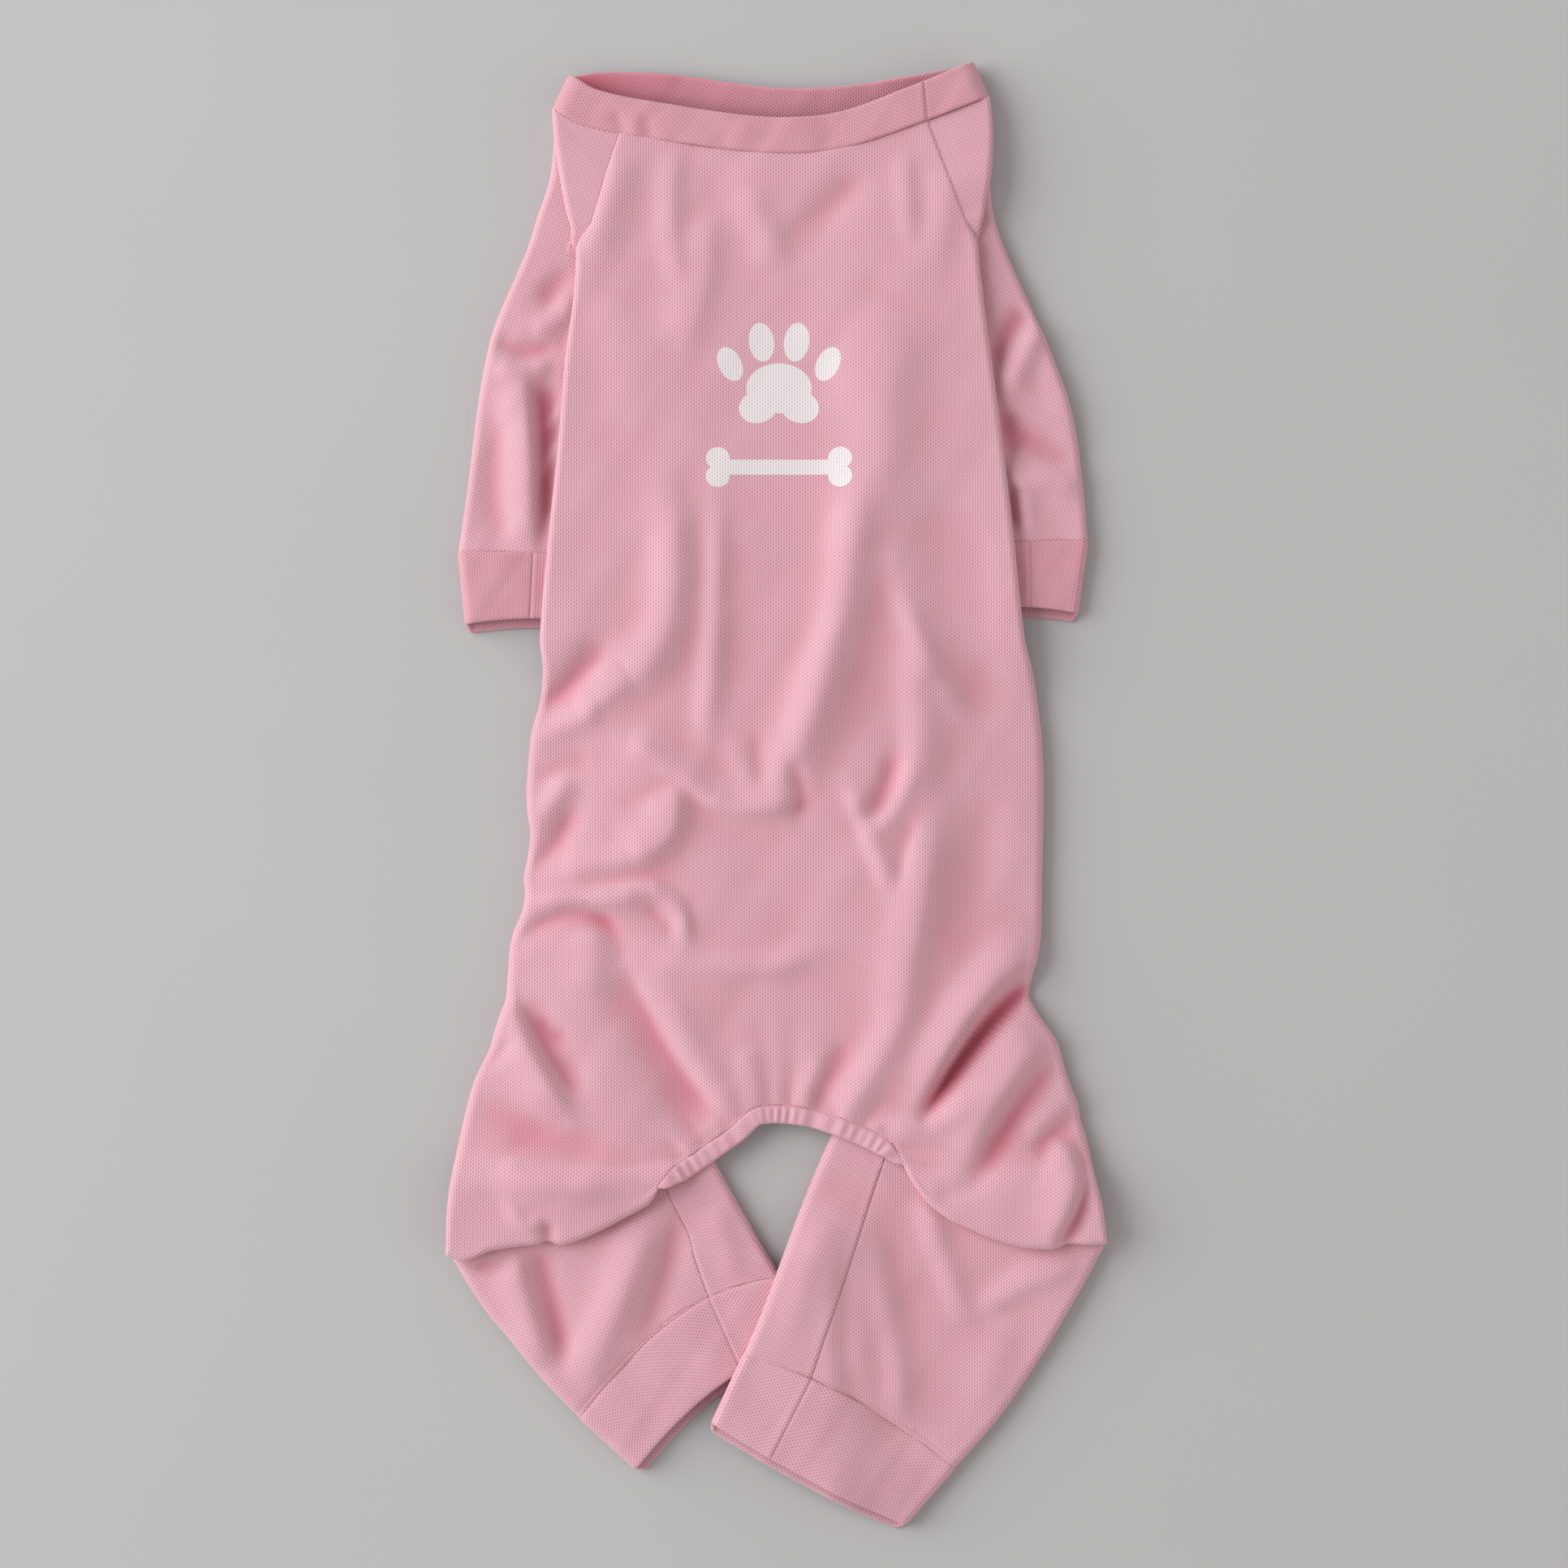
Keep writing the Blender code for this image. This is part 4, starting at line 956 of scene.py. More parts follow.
def back_place(spread, row):
    """across and along of the top wall of the back panel, inside its rolled edges."""
    along = back_row_along(spread, row)
    to_hem = hem_share(row)
    along = along - to_hem * casing_depth(spread) / BACK_LENGTH
    along = along - to_hem * (1 - casing_share(spread)) * THIGH_LOFT / 2 / BACK_LENGTH
    ends = []
    for side, sign in ((0, -1), (1, 1)):
        end_along = back_row_along(np.float64(sign), row)
        outline = read_table(BODY_SIDES, end_along)[side]
        radius = np.maximum((top_height(outline, end_along) - layer_level(end_along)) / 2, CLOTH)
        rolled_end = outline - sign * (radius + CLOTH / 2) / CHEST_HALF
        raglan_end = read_table(RAGLAN, end_along)[side] + sign * SEAM_LAP / CHEST_HALF
        ends.append(raglan_end + (rolled_end - raglan_end) * past_raglan(end_along))
    return ends[0] + (ends[1] - ends[0]) * (spread + 1) / 2, along


def neck_seam_y(x, z):
    """Where the neck seam runs, between the back's seam and the underside's."""
    share = np.clip((x / CHEST_HALF - NECK_MIDDLE) / NECK_HALF, -1.0, 1.0)
    on_back, on_underside = read_table(NECK_SEAM, share)
    rise = smooth_step((z - FLOOR_LAYER) / NECK_LOFT)
    return -BACK_LENGTH * (on_underside + (on_back - on_underside) * rise)


def back_top_points(spread, row):
    across, along = back_place(spread, row)
    height = top_height(across, along)
    x, y = across * CHEST_HALF, -along * BACK_LENGTH
    across_0, along_0 = back_place(spread, np.zeros_like(row))
    neck_shift = neck_seam_y(across_0 * CHEST_HALF, top_height(across_0, along_0)) + SEAM_LAP
    neck_shift = neck_shift + along_0 * BACK_LENGTH
    y = y + neck_shift * (1 - smooth_step(row / 0.08))
    _, along_1 = back_place(spread, np.ones_like(row))
    height = height + rump_gathers(x, spread, np.maximum(y + along_1 * BACK_LENGTH, 0.0))
    beside_raglan = (1 - np.abs(spread)) * PANEL_HALF
    height = height - edge_turn(row * BACK_LENGTH)
    height = height - edge_turn(beside_raglan) * (1 - past_raglan(along))
    return np.stack(np.broadcast_arrays(x, y, height), axis=-1)


even = np.linspace(-1.0, 1.0, BACK_COLUMNS + 1)[1:-1]
beside = EDGE_ROWS / PANEL_HALF
BACK_SPREADS = np.concatenate((beside - 1, even * (1.08 - 0.10 * even * even), 1 - beside[::-1]))[None, :]
steps = np.linspace(0.0, 1.0, BACK_ROWS + 1)[1:]
BACK_SHARES = np.concatenate((EDGE_ROWS / BACK_LENGTH, steps * (1.22 - 0.22 * steps)))[:, None]
BACK_SHARES[-1] = 1.0
back_top = back_top_points(BACK_SPREADS, BACK_SHARES)
print("back panel rises to", round(back_top[..., 2].max() * 1000, 1), "mm")

# %% Back panel with its rolled rim
ROLL_STEPS = 9
# How quickly the thigh's roll flattens where the casing begins
CASING_HOLD = 2.4
RETURN_SHARES = (0.10, 0.24, 0.38, 0.56, 0.75, 0.79, 0.83, 0.87, 0.91, 0.95, 1.0)


def rim_chain():
    """Rows and columns of the panel's free edge: down the left side, along the hem, up the right side."""
    last_row, last_column = len(BACK_SHARES) - 1, BACK_SPREADS.shape[1] - 1
    rows, columns = np.arange(last_row), np.arange(last_column + 1)
    row = np.concatenate((rows, np.full(last_column + 1, last_row), rows[::-1]))
    column = np.concatenate((np.zeros(last_row, int), columns, np.full(last_row, last_column)))
    return row, column


def back_rim():
    """Points and cut places of the roll and the return, one row for each step out from the free edge."""
    row, column = rim_chain()
    start = back_top[row, column]
    spread, row_share = BACK_SPREADS[0, column], BACK_SHARES[row, 0]
    along = -start[:, 1] / BACK_LENGTH
    hem = row == row.max()
    tip = hem_share(row_share) * smooth_step((np.abs(spread) - 0.72) / 0.28)
    turn = np.where(hem, 0.5 * tip, 1 - 0.5 * tip)
    side = np.where(spread < 0, -1.0, 1.0)
    outward = np.stack((side * turn, turn - 1, np.zeros_like(turn)), axis=-1)
    outward /= np.linalg.norm(outward, axis=1)[:, None]
    seams = read_table(UNDER_SEAMS, along)
    seam = np.where(side < 0, seams[0], seams[1]) * CHEST_HALF
    reach = np.abs(start[:, 0] - seam)
    reach = reach + (THIGH_RETURN - reach) * hem_share(row_share)
    reach = reach * smooth_step((along - RAGLAN[-1][0]) / (UNDERARM - RAGLAN[-1][0]))
    level = np.where(hem, OVER_LEG, layer_level(along))
    beside_casing = np.maximum(1 - CASING_HOLD * casing_share(spread), 0.0)
    rolled = np.where(hem, beside_casing, past_raglan(along))
    reach = np.where(hem, THIGH_RETURN, reach)
    sinks = smooth_step((along - UNDERARM) / 0.07) * (1 - smooth_step((along - 1.0) / 0.08))
    end_level = np.where(hem, level, level + (FLOOR_LAYER - level) * sinks)
    radius = np.maximum((start[:, 2] - level) / 2, 0.0) * rolled

    lines, cuts = [start], [start[:, :2]]
    for step in range(1, ROLL_STEPS + 1):
        angle = math.pi * step / ROLL_STEPS
        moved = start + outward * (radius * math.sin(angle))[:, None]
        moved[:, 2] = start[:, 2] - radius * (1 - math.cos(angle))
        lines.append(moved)
        cuts.append(start[:, :2] + outward[:, :2] * (radius * angle)[:, None])
    for share in RETURN_SHARES:
        moved = start - outward * (reach * share * rolled)[:, None]
        sunk = smooth_step((share - 0.75) / 0.25)
        moved[:, 2] = start[:, 2] - 2 * radius + (end_level - level) * sunk * rolled
        lines.append(moved)
        cuts.append(start[:, :2] + outward[:, :2] * (radius * math.pi + reach * share * rolled)[:, None])
    return np.stack(lines), np.stack(cuts)


cloth_piece("back_panel", [(back_top, back_top[..., :2]), back_rim()], back_knit)

# %% [markdown]
# ## Flattened tubes
#
# Sleeves, legs and cuffs are tubes pressed flat. Each is swept through a few stations, and a station is a
# loop: over the top from the inner edge to the outer one, round the fold, and back below. Where a seam runs
# down a tube, one column of the grid is led along it, so that the seam can be pressed in as a real groove.

# %% Flattened tubes
CORNER_STEPS = 7
# Distance from a tube's own seam and height there, in metres
SEAM_PROFILE = (
    (-0.0045, 0.00000),
    (-0.0022, 0.00025),
    (-0.0007, 0.00025),
    (0.0000, -0.00060),
    (0.0005, -0.00015),
    (0.0013, 0.00000),
)
SEAM_MIDDLE = 3


def flat_tube(inner, outer, bow, low, high, across_steps, seam=None):
    """Loops round a flattened tube, one row each. Gives the points, how far each is up its fold from -1
    (underside) to 1 (top), and the column that follows the seam.
    """
    radius = (high - low) / 2
    run = outer - inner
    edge = radius / np.linalg.norm(run, axis=1)[:, None]
    corner = (1 - np.cos(math.pi / 2 * np.arange(CORNER_STEPS) / CORNER_STEPS))[None, :]
    middle = np.broadcast_to(np.linspace(0.0, 1.0, across_steps + 1), (len(run), across_steps + 1))
    seam_column = None
    if seam is not None:
        target = (seam[:, None] - edge) / (1 - 2 * edge)
        held = float(target.mean())
        width = float(np.linalg.norm(run, axis=1).mean())
        beside = held + np.array([offset for offset, _ in SEAM_PROFILE]) / width
        even = middle[0][(middle[0] < beside[0] - 0.004) | (middle[0] > beside[-1] + 0.004)]
        middle = np.sort(np.concatenate((even, beside)))[None, :]
        seam_column = CORNER_STEPS + int(np.argmin(np.abs(middle[0] - held)))
        inside = middle / held * target
        outside = target + (middle - held) / (1 - held) * (1 - target)
        middle = np.where(middle < held, inside, outside)
    half = np.concatenate((edge * corner, edge + (1 - 2 * edge) * middle, 1 - edge * corner[:, ::-1]), axis=1)
    shares = np.concatenate((half[:, :-1], half[:, ::-1][:, :-1], half[:, :1]), axis=1)
    count = half.shape[1] - 1
    sign = np.concatenate((np.ones(count), -np.ones(count), np.ones(1)))[None, :]
    inward = np.minimum(shares, 1 - shares)
    rise = np.sqrt(np.maximum(1 - (1 - np.minimum(inward / edge, 1.0)) ** 2, 0.0)) * sign
    plan = inner[:, None, :] + run[:, None, :] * shares[..., None]
    plan = plan + bow[:, None, :] * (4 * shares * (1 - shares))[..., None]
    height = (low + high) / 2 + radius * rise
    return np.concatenate((plan, height[..., None]), axis=-1), rise, seam_column


def turned_cut(across, up, degrees):
    """Places in metres turned about the origin, as the cut of a piece whose grain is slanted."""
    c, s = math.cos(math.radians(degrees)), math.sin(math.radians(degrees))
    return np.stack((across * c - up * s, across * s + up * c), axis=-1)


def wrapped_cut(points, anchor, outward, degrees):
    """The cut of a tube whose rows run level: distance round each row from one column, and height in plan."""
    steps = np.linalg.norm(np.diff(points, axis=1), axis=2)
    around = np.concatenate((np.zeros((len(points), 1)), np.cumsum(steps, axis=1)), axis=1)
    level = points[:, anchor, :1] + outward * (around - around[:, anchor : anchor + 1])
    return turned_cut(level, points[..., 1], degrees)


def press_seam(line, column, height=1.0):
    """Presses the columns round a seam: the allowance lifts one side, and the stitches pull the seam in."""
    for beside, (_, lift) in enumerate(SEAM_PROFILE, start=-SEAM_MIDDLE):
        line[..., column + beside, 2] += lift * height


# %% [markdown]
# ## Sleeves
#
# A raglan sleeve starts as a strip over the shoulder, between the raglan seam and the fold of the shoulder.
# The cloth turns under there, comes back beneath the body, and below the underarm it closes into a tube that
# lies out to the side.

# %% Sleeve stations and folds
# (across, along) of the raglan seam, the shoulder's fold, the tuck under it, the outer edge and the seam
# underneath, then the levels of the top wall and of the return under the shoulder
SLEEVES = {
    "left": (
        ((-0.664, -0.017), (-0.95, -0.041), (-0.944, -0.041), (-0.95, -0.041), (-0.548, -0.044), 0.66, 0.90),
        ((-0.712, 0.018), (-0.940, -0.008), (-0.930, -0.008), (-0.946, -0.006), (-0.550, 0.020), 0.85, 0.96),
        ((-0.750, 0.048), (-0.915, 0.030), (-0.890, 0.030), (-0.968, 0.032), (-0.552, 0.055), 1.00, 0.98),
        ((-0.784, 0.076), (-0.890, 0.062), (-0.850, 0.062), (-1.015, 0.066), (-0.554, 0.090), 1.00, 1.00),
        ((-0.813, 0.085), (-0.872, 0.078), (-0.825, 0.080), (-1.042, 0.088), (-0.556, 0.110), 1.00, 1.00),
        ((-0.800, 0.106), None, None, (-1.080, 0.113), (-0.557, 0.138), 1.00, 1.00),
        ((-0.575, 0.176), None, None, (-1.192, 0.176), None, 1.00, 1.00),
        ((-0.633, 0.222), None, None, (-1.238, 0.218), None, 1.00, 1.00),
        ((-0.657, 0.276), None, None, (-1.272, 0.268), None, 1.00, 1.00),
        ((-0.664, 0.343), None, None, (-1.308, 0.340), None, 1.00, 1.00),
        ((-0.657, 0.415), None, None, (-1.350, 0.411), None, 1.00, 1.00),
    ),
    "right": (
        ((0.638, -0.030), (0.891, -0.054), (0.885, -0.054), (0.891, -0.054), (0.530, -0.040), 0.66, 0.90),
        ((0.688, 0.006), (0.904, -0.018), (0.894, -0.018), (0.902, -0.016), (0.540, 0.015), 0.85, 0.96),
        ((0.736, 0.038), (0.898, 0.022), (0.870, 0.022), (0.893, 0.022), (0.546, 0.050), 1.00, 0.98),
        ((0.780, 0.062), (0.874, 0.052), (0.835, 0.053), (0.902, 0.054), (0.550, 0.076), 1.00, 1.00),
        ((0.808, 0.080), (0.860, 0.072), (0.815, 0.074), (0.925, 0.078), (0.552, 0.100), 1.00, 1.00),
        ((0.780, 0.106), None, None, (0.972, 0.108), (0.554, 0.128), 1.00, 1.00),
        ((0.572, 0.164), None, None, (1.078, 0.165), None, 1.00, 1.00),
        ((0.625, 0.208), None, None, (1.152, 0.205), None, 1.00, 1.00),
        ((0.647, 0.268), None, None, (1.240, 0.265), None, 1.00, 1.00),
        ((0.660, 0.335), None, None, (1.284, 0.332), None, 1.00, 1.00),
        ((0.660, 0.402), None, None, (1.309, 0.400), None, 1.00, 1.00),
    ),
}
SLEEVE_FOLDS = {
    "left": (
        (-0.87, 0.110, -0.93, 0.135, -1.01, 0.160, -0.12, 0.045, 0.05),
        (-0.85, 0.155, -0.95, 0.172, -1.04, 0.185, 0.11, 0.05, 0.04),
        (-1.20, 0.192, -1.08, 0.205, -0.93, 0.200, -0.12, 0.04, 0.04),
        (-1.19, 0.220, -1.08, 0.228, -0.95, 0.220, 0.13, 0.04, 0.05),
        (-1.085, 0.235, -1.050, 0.305, -1.040, 0.408, 0.26, 0.032, 0.10),
        (-0.985, 0.240, -0.975, 0.305, -0.985, 0.385, -0.30, 0.05, 0.045),
        (-0.91, 0.262, -0.95, 0.273, -0.99, 0.285, 0.13, 0.028, 0.028),
        (-0.92, 0.298, -0.96, 0.312, -1.00, 0.332, 0.13, 0.028, 0.028),
        (-1.19, 0.260, -1.20, 0.330, -1.16, 0.400, -0.10, 0.06, 0.07),
    ),
    "right": (
        (1.06, 0.163, 0.97, 0.188, 0.91, 0.228, -0.20, 0.05, 0.05),
        (1.11, 0.178, 1.04, 0.213, 0.98, 0.250, 0.17, 0.05, 0.06),
        (0.93, 0.265, 1.07, 0.298, 1.25, 0.318, -0.15, 0.06, 0.05),
        (0.92, 0.270, 0.97, 0.292, 1.03, 0.312, -0.13, 0.05, 0.05),
        (1.29, 0.345, 1.10, 0.340, 0.95, 0.336, 0.16, 0.035, 0.055),
        (0.975, 0.345, 0.985, 0.365, 1.00, 0.388, -0.22, 0.035, 0.03),
        (1.03, 0.345, 1.06, 0.370, 1.08, 0.398, 0.09, 0.04, 0.045),
        (1.14, 0.200, 1.18, 0.240, 1.21, 0.280, 0.07, 0.06, 0.06),
    ),
}
SLEEVE_STRAIGHTS = (4, 12, 2, 3, 6, 26, 4, 34, 3)
SLEEVE_STEPS_PER_STATION = 9
# Rough distances between the first two stations and between the last two, in metres
SLEEVE_FIRST_STEP = 0.017
SLEEVE_LAST_STEP = 0.034
# Columns of a sleeve's loop: where the shoulder's fold starts, the tuck under it, and the outer edge
SHOULDER_COLUMN = 24
TUCK_COLUMN = 56
OUTER_COLUMN = 88
# How far the strip is pushed down where the body's rolled side covers it
STRIP_DIVE = 0.0040
# Where the strip has gone under the body, and how far below that the sleeve's own folds reach full height
STRIP_END = 0.108
STRIP_FADE = 0.030
# How much shorter the slow swell's waves are on a sleeve than on the back
SLEEVE_SWELL = 1.7
# How far the knit's grain is turned from upright, in degrees
SLEEVE_GRAIN = {"left": 12.0, "right": -11.0}


# %% Sleeves
def place_at(across, along, height=0.0):
    return Vector((across * CHEST_HALF, -along * BACK_LENGTH, height))


def rounded_path(corners, radius, corner_steps, straight_steps):
    """Points along a path whose corners are rounded. straight_steps gives the divisions of each straight."""
    points = [corners[0].copy()]
    for i in range(1, len(corners) - 1):
        corner = corners[i]
        to_before, to_after = corners[i - 1] - corner, corners[i + 1] - corner
        reach = min(radius, to_before.length * 0.5, to_after.length * 0.5)
        start = corner + to_before.normalized() * reach
        end = corner + to_after.normalized() * reach
        steps, last = straight_steps[i - 1], points[-1]
        points += [last.lerp(start, k / steps) for k in range(1, steps)]
        for k in range(corner_steps + 1):
            t = k / corner_steps
            weight = 2 * math.sqrt(0.5) * t * (1 - t)
            blend = (1 - t) ** 2 + weight + t * t
            points.append((start * (1 - t) ** 2 + corner * weight + end * t * t) / blend)
    steps, last = straight_steps[-1], points[-1]
    return points + [last.lerp(corners[-1], k / steps) for k in range(1, steps + 1)]


def sleeve_corners(side):
    """Corner points of each station's loop."""
    stations = []
    for seam, fold, tuck, outer, under, top_share, over_share in SLEEVES[side]:
        top = FLOOR_LAYER + SLEEVE_LOFT * top_share
        over = FLOOR_LAYER + (OVER_CUFF - FLOOR_LAYER) * over_share
        outer_top, outer_low = place_at(*outer, top), place_at(*outer, FLOOR_LAYER)
        if fold:
            seam_height = float(top_height(*np.float64(seam)))
            first = place_at(*seam, seam_height)
            corners = [first, first.lerp(place_at(*fold, seam_height), 0.1)]
            corners += [place_at(*fold, seam_height), place_at(*fold, over)]
            corners += [place_at(*tuck, over), place_at(*tuck, top)]
        else:
            first = place_at(*seam, top)
            start = place_at(*seam, top if under else (top + FLOOR_LAYER) / 2)
            corners = [start] + [first.lerp(outer_top, share) for share in (0.02, 0.12, 0.2, 0.28, 0.36)]
        last = place_at(*(under or seam), FLOOR_LAYER)
        corners += [outer_top, outer_low, last.lerp(outer_low, 0.02)]
        corners.append(last if under else corners[0].copy())
        stations.append(corners)
    return stations


def body_edge(side, along):
    """across of the body's outline on one side."""
    left, right = read_table(BODY_SIDES, along)
    return -left if side == "left" else right


def follow_raglan(points, rows, side):
    """Leads the strip's first column along the raglan edge of the back, and under the body where it rolls."""
    edge = back_top[:, 0] if side == "left" else back_top[:, -1]
    lap = SEAM_LAP if side == "left" else -SEAM_LAP
    order = np.argsort(edge[:, 1])
    first = points[:, 0].copy()
    target_x = np.interp(first[:, 1], edge[order, 1], edge[order, 0]) + lap
    target_z = np.interp(first[:, 1], edge[order, 1], edge[order, 2])
    along = -first[:, 1] / BACK_LENGTH
    dive = smooth_step((along - ROLL_START + 0.006) / ROLL_RAMP)
    target_z = target_z - STRIP_DIVE * dive
    held = 1 - smooth_step((rows - 4.0) / 1.0)
    fade = 1 - np.minimum(np.arange(points.shape[1]) / SHOULDER_COLUMN, 1.0)
    points[..., 0] += (held * (target_x - first[:, 0]))[:, None] * fade
    lower = 1 - np.minimum(np.arange(points.shape[1]) / TUCK_COLUMN, 1.0) ** 2
    points[..., 2] += (held * (target_z - first[:, 2]))[:, None] * lower


def make_sleeve(side):
    stations = sleeve_corners(side)
    first_closed = [station[4] for station in SLEEVES[side]].index(None)
    tables = []
    for corner in range(len(stations[0])):
        tables.append([(i, *stations[i][corner]) for i in range(len(stations))])
    loops = []
    last = len(stations) - 1
    rows = np.linspace(0, last, last * SLEEVE_STEPS_PER_STATION + 1)[1:-1]
    first_rows, last_rows = EDGE_ROWS / SLEEVE_FIRST_STEP, last - EDGE_ROWS[::-1] / SLEEVE_LAST_STEP
    rows = np.concatenate((first_rows, rows, last_rows))
    for row in rows:
        corners = [Vector(read_table(table, row)) for table in tables]
        for corner in corners:
            corner.z = max(corner.z, FLOOR_LAYER)
        if row >= first_closed:
            corners[-1] = corners[0].copy()
        loops.append(rounded_path(corners, OVER_CUFF, CORNER_STEPS, SLEEVE_STRAIGHTS))
    points = np.array(loops)
    shift = neck_seam_y(points[0, :, 0], points[0, :, 2]) + SEAM_LAP - points[0, :, 1]
    points[..., 1] += shift[None, :] * (1 - smooth_step(rows / 1.2))[:, None]
    follow_raglan(points, rows, side)
    in_strip = np.linalg.norm(points - points[:, :1], axis=-1)
    points[..., 2] -= edge_turn(in_strip) * (1 - smooth_step(rows - 3.4))[:, None]
    edge_rows = len(EDGE_ROWS)
    for ends, turned in ((points[:edge_rows], EDGE_ROWS), (points[-edge_rows:], EDGE_ROWS[::-1])):
        ends[..., 2] -= edge_turn(turned)[:, None] * (ends[..., 2] > 2 * CLOTH)
    across, along = shares_of(points)
    on_top = smooth_step((points[..., 2] - SLEEVE_TOP + 0.003) / 0.0025)
    on_top = on_top * (points[..., 2] < SLEEVE_TOP + 0.0006)
    outside = smooth_step((np.abs(across) - body_edge(side, along) + 0.035) / 0.06)
    outside = outside * smooth_step((along - STRIP_END) / STRIP_FADE)
    relief = FOLD_LOFT * fold_relief(SLEEVE_FOLDS[side], across, along)
    relief += swell(points[..., 0] * SLEEVE_SWELL, points[..., 1] * SLEEVE_SWELL)
    raised = keep_above(points[..., 2] + relief * on_top * outside, FLOOR_LAYER + 2 * CLOTH)
    points[..., 2] = np.where(on_top * outside > 0, raised, points[..., 2])
    outward = -1 if side == "left" else 1
    sheets = []
    for start, stop, anchor in ((0, TUCK_COLUMN, 0), (TUCK_COLUMN, None, OUTER_COLUMN - TUCK_COLUMN)):
        part = points[:, start : stop + 1 if stop else None]
        sheets.append((part, wrapped_cut(part, anchor, outward, SLEEVE_GRAIN[side])))
    cloth_piece(f"front_sleeve_{side}", sheets, mesh_knit)


for side in ("left", "right"):
    make_sleeve(side)

# %% [markdown]
# ## Lower hind legs
#
# The thighs fold over them, so only their lower halves show. Each has a seam down its front that parts a
# narrow strip from the broad one, and the grain of the knit turns at that seam.

# %% Lower hind legs
# Inner edge, outer edge, bow of the line between them (across, along), and where the seam crosses it
HIND_LEGS = {
    "left": (
        ((-0.322, 1.010), (-1.290, 1.085), (0.00, 0.000), 0.200),
        ((-0.257, 1.045), (-1.372, 1.128), (0.00, 0.000), 0.200),
        ((-0.196, 1.072), (-1.345, 1.150), (0.00, -0.003), 0.206),
        ((-0.133, 1.099), (-1.236, 1.191), (0.00, -0.010), 0.222),
        ((-0.070, 1.126), (-1.150, 1.216), (0.00, -0.018), 0.262),
        ((-0.012, 1.148), (-1.000, 1.260), (0.00, -0.026), 0.310),
        ((0.012, 1.158), (-0.836, 1.302), (0.00, -0.034), 0.357),
    ),
    "right": (
        ((0.281, 0.990), (1.290, 1.072), (0.00, 0.000), 0.210),
        ((0.219, 1.018), (1.375, 1.116), (0.00, 0.000), 0.197),
        ((0.120, 1.074), (1.343, 1.141), (0.00, 0.000), 0.210),
        ((0.040, 1.124), (1.212, 1.198), (0.00, 0.000), 0.225),
        ((-0.030, 1.170), (1.090, 1.246), (0.00, -0.004), 0.242),
        ((-0.085, 1.204), (0.930, 1.302), (0.00, -0.010), 0.270),
        ((-0.140, 1.234), (0.747, 1.353), (0.00, -0.015), 0.315),
    ),
}
# How far the grain of the strip and of the broad part is turned from upright, in degrees
LEG_GRAIN = {"left": (21.0, 12.0), "right": (-19.0, 0.0)}
LEG_FOLDS = {
    "left": (
        (-1.14, 1.120, -1.06, 1.185, -0.97, 1.250, 0.21, 0.045, 0.09),
        (-0.55, 1.090, -0.67, 1.180, -0.84, 1.270, 0.24, 0.08, 0.11),
        (-1.02, 1.120, -0.96, 1.180, -0.90, 1.245, -0.14, 0.05, 0.05),
        (-0.42, 1.080, -0.47, 1.150, -0.58, 1.230, -0.12, 0.07, 0.05),
        (-1.28, 1.135, -1.20, 1.145, -1.10, 1.125, -0.12, 0.045, 0.045),
        (-0.27, 1.080, -0.22, 1.120, -0.17, 1.160, 0.08, 0.06, 0.06),
    ),
    "right": (
        (0.39, 1.120, 0.49, 1.220, 0.52, 1.310, 0.16, 0.06, 0.07),
        (0.30, 1.130, 0.28, 1.220, 0.34, 1.300, -0.09, 0.05, 0.05),
        (0.62, 1.070, 0.70, 1.135, 0.81, 1.205, 0.12, 0.05, 0.06),
        (1.27, 1.145, 1.05, 1.163, 0.80, 1.198, 0.12, 0.05, 0.07),
        (0.98, 1.190, 0.93, 1.230, 0.84, 1.290, 0.07, 0.08, 0.09),
        (0.20, 1.090, 0.12, 1.150, 0.02, 1.220, 0.08, 0.07, 0.07),
    ),
}
LEG_ROWS = 72
LEG_ACROSS = 84
# Rough distance between the last two stations, in metres
LEG_LAST_STEP = 0.012


def crossing_lift(points):
    """How far the right lower leg is lifted where it lies on the left leg's cuff."""
    across, along = shares_of(points)
    return CROSSING_LIFT * (1 - smooth_step((across - 0.20) / 0.32)) * smooth_step((along - 1.055) / 0.085)


def beyond_thigh(across, along):
    """0 under the thigh's folded edge, 1 where the leg is clear of it."""
    edge = 1 + read_table(LOWER_EDGE, np.clip(across / 1.41, -1.0, 1.0))[0]
    return smooth_step((along - edge + 0.004) / 0.022)


def leg_stations(side):
    rows = [(i, *inner, *outer, *bow, seam) for i, (inner, outer, bow, seam) in enumerate(HIND_LEGS[side])]
    last = len(rows) - 1
    places = np.linspace(0.0, last, LEG_ROWS + 1)[:-1]
    places = np.concatenate((places, last - EDGE_ROWS[::-1] / LEG_LAST_STEP))
    values = read_table(rows, places)
    scale = np.array((CHEST_HALF, -BACK_LENGTH))
    inner, outer, bow = (np.stack(values[k : k + 2], axis=-1) * scale for k in (0, 2, 4))
    return inner, outer, bow, values[6]


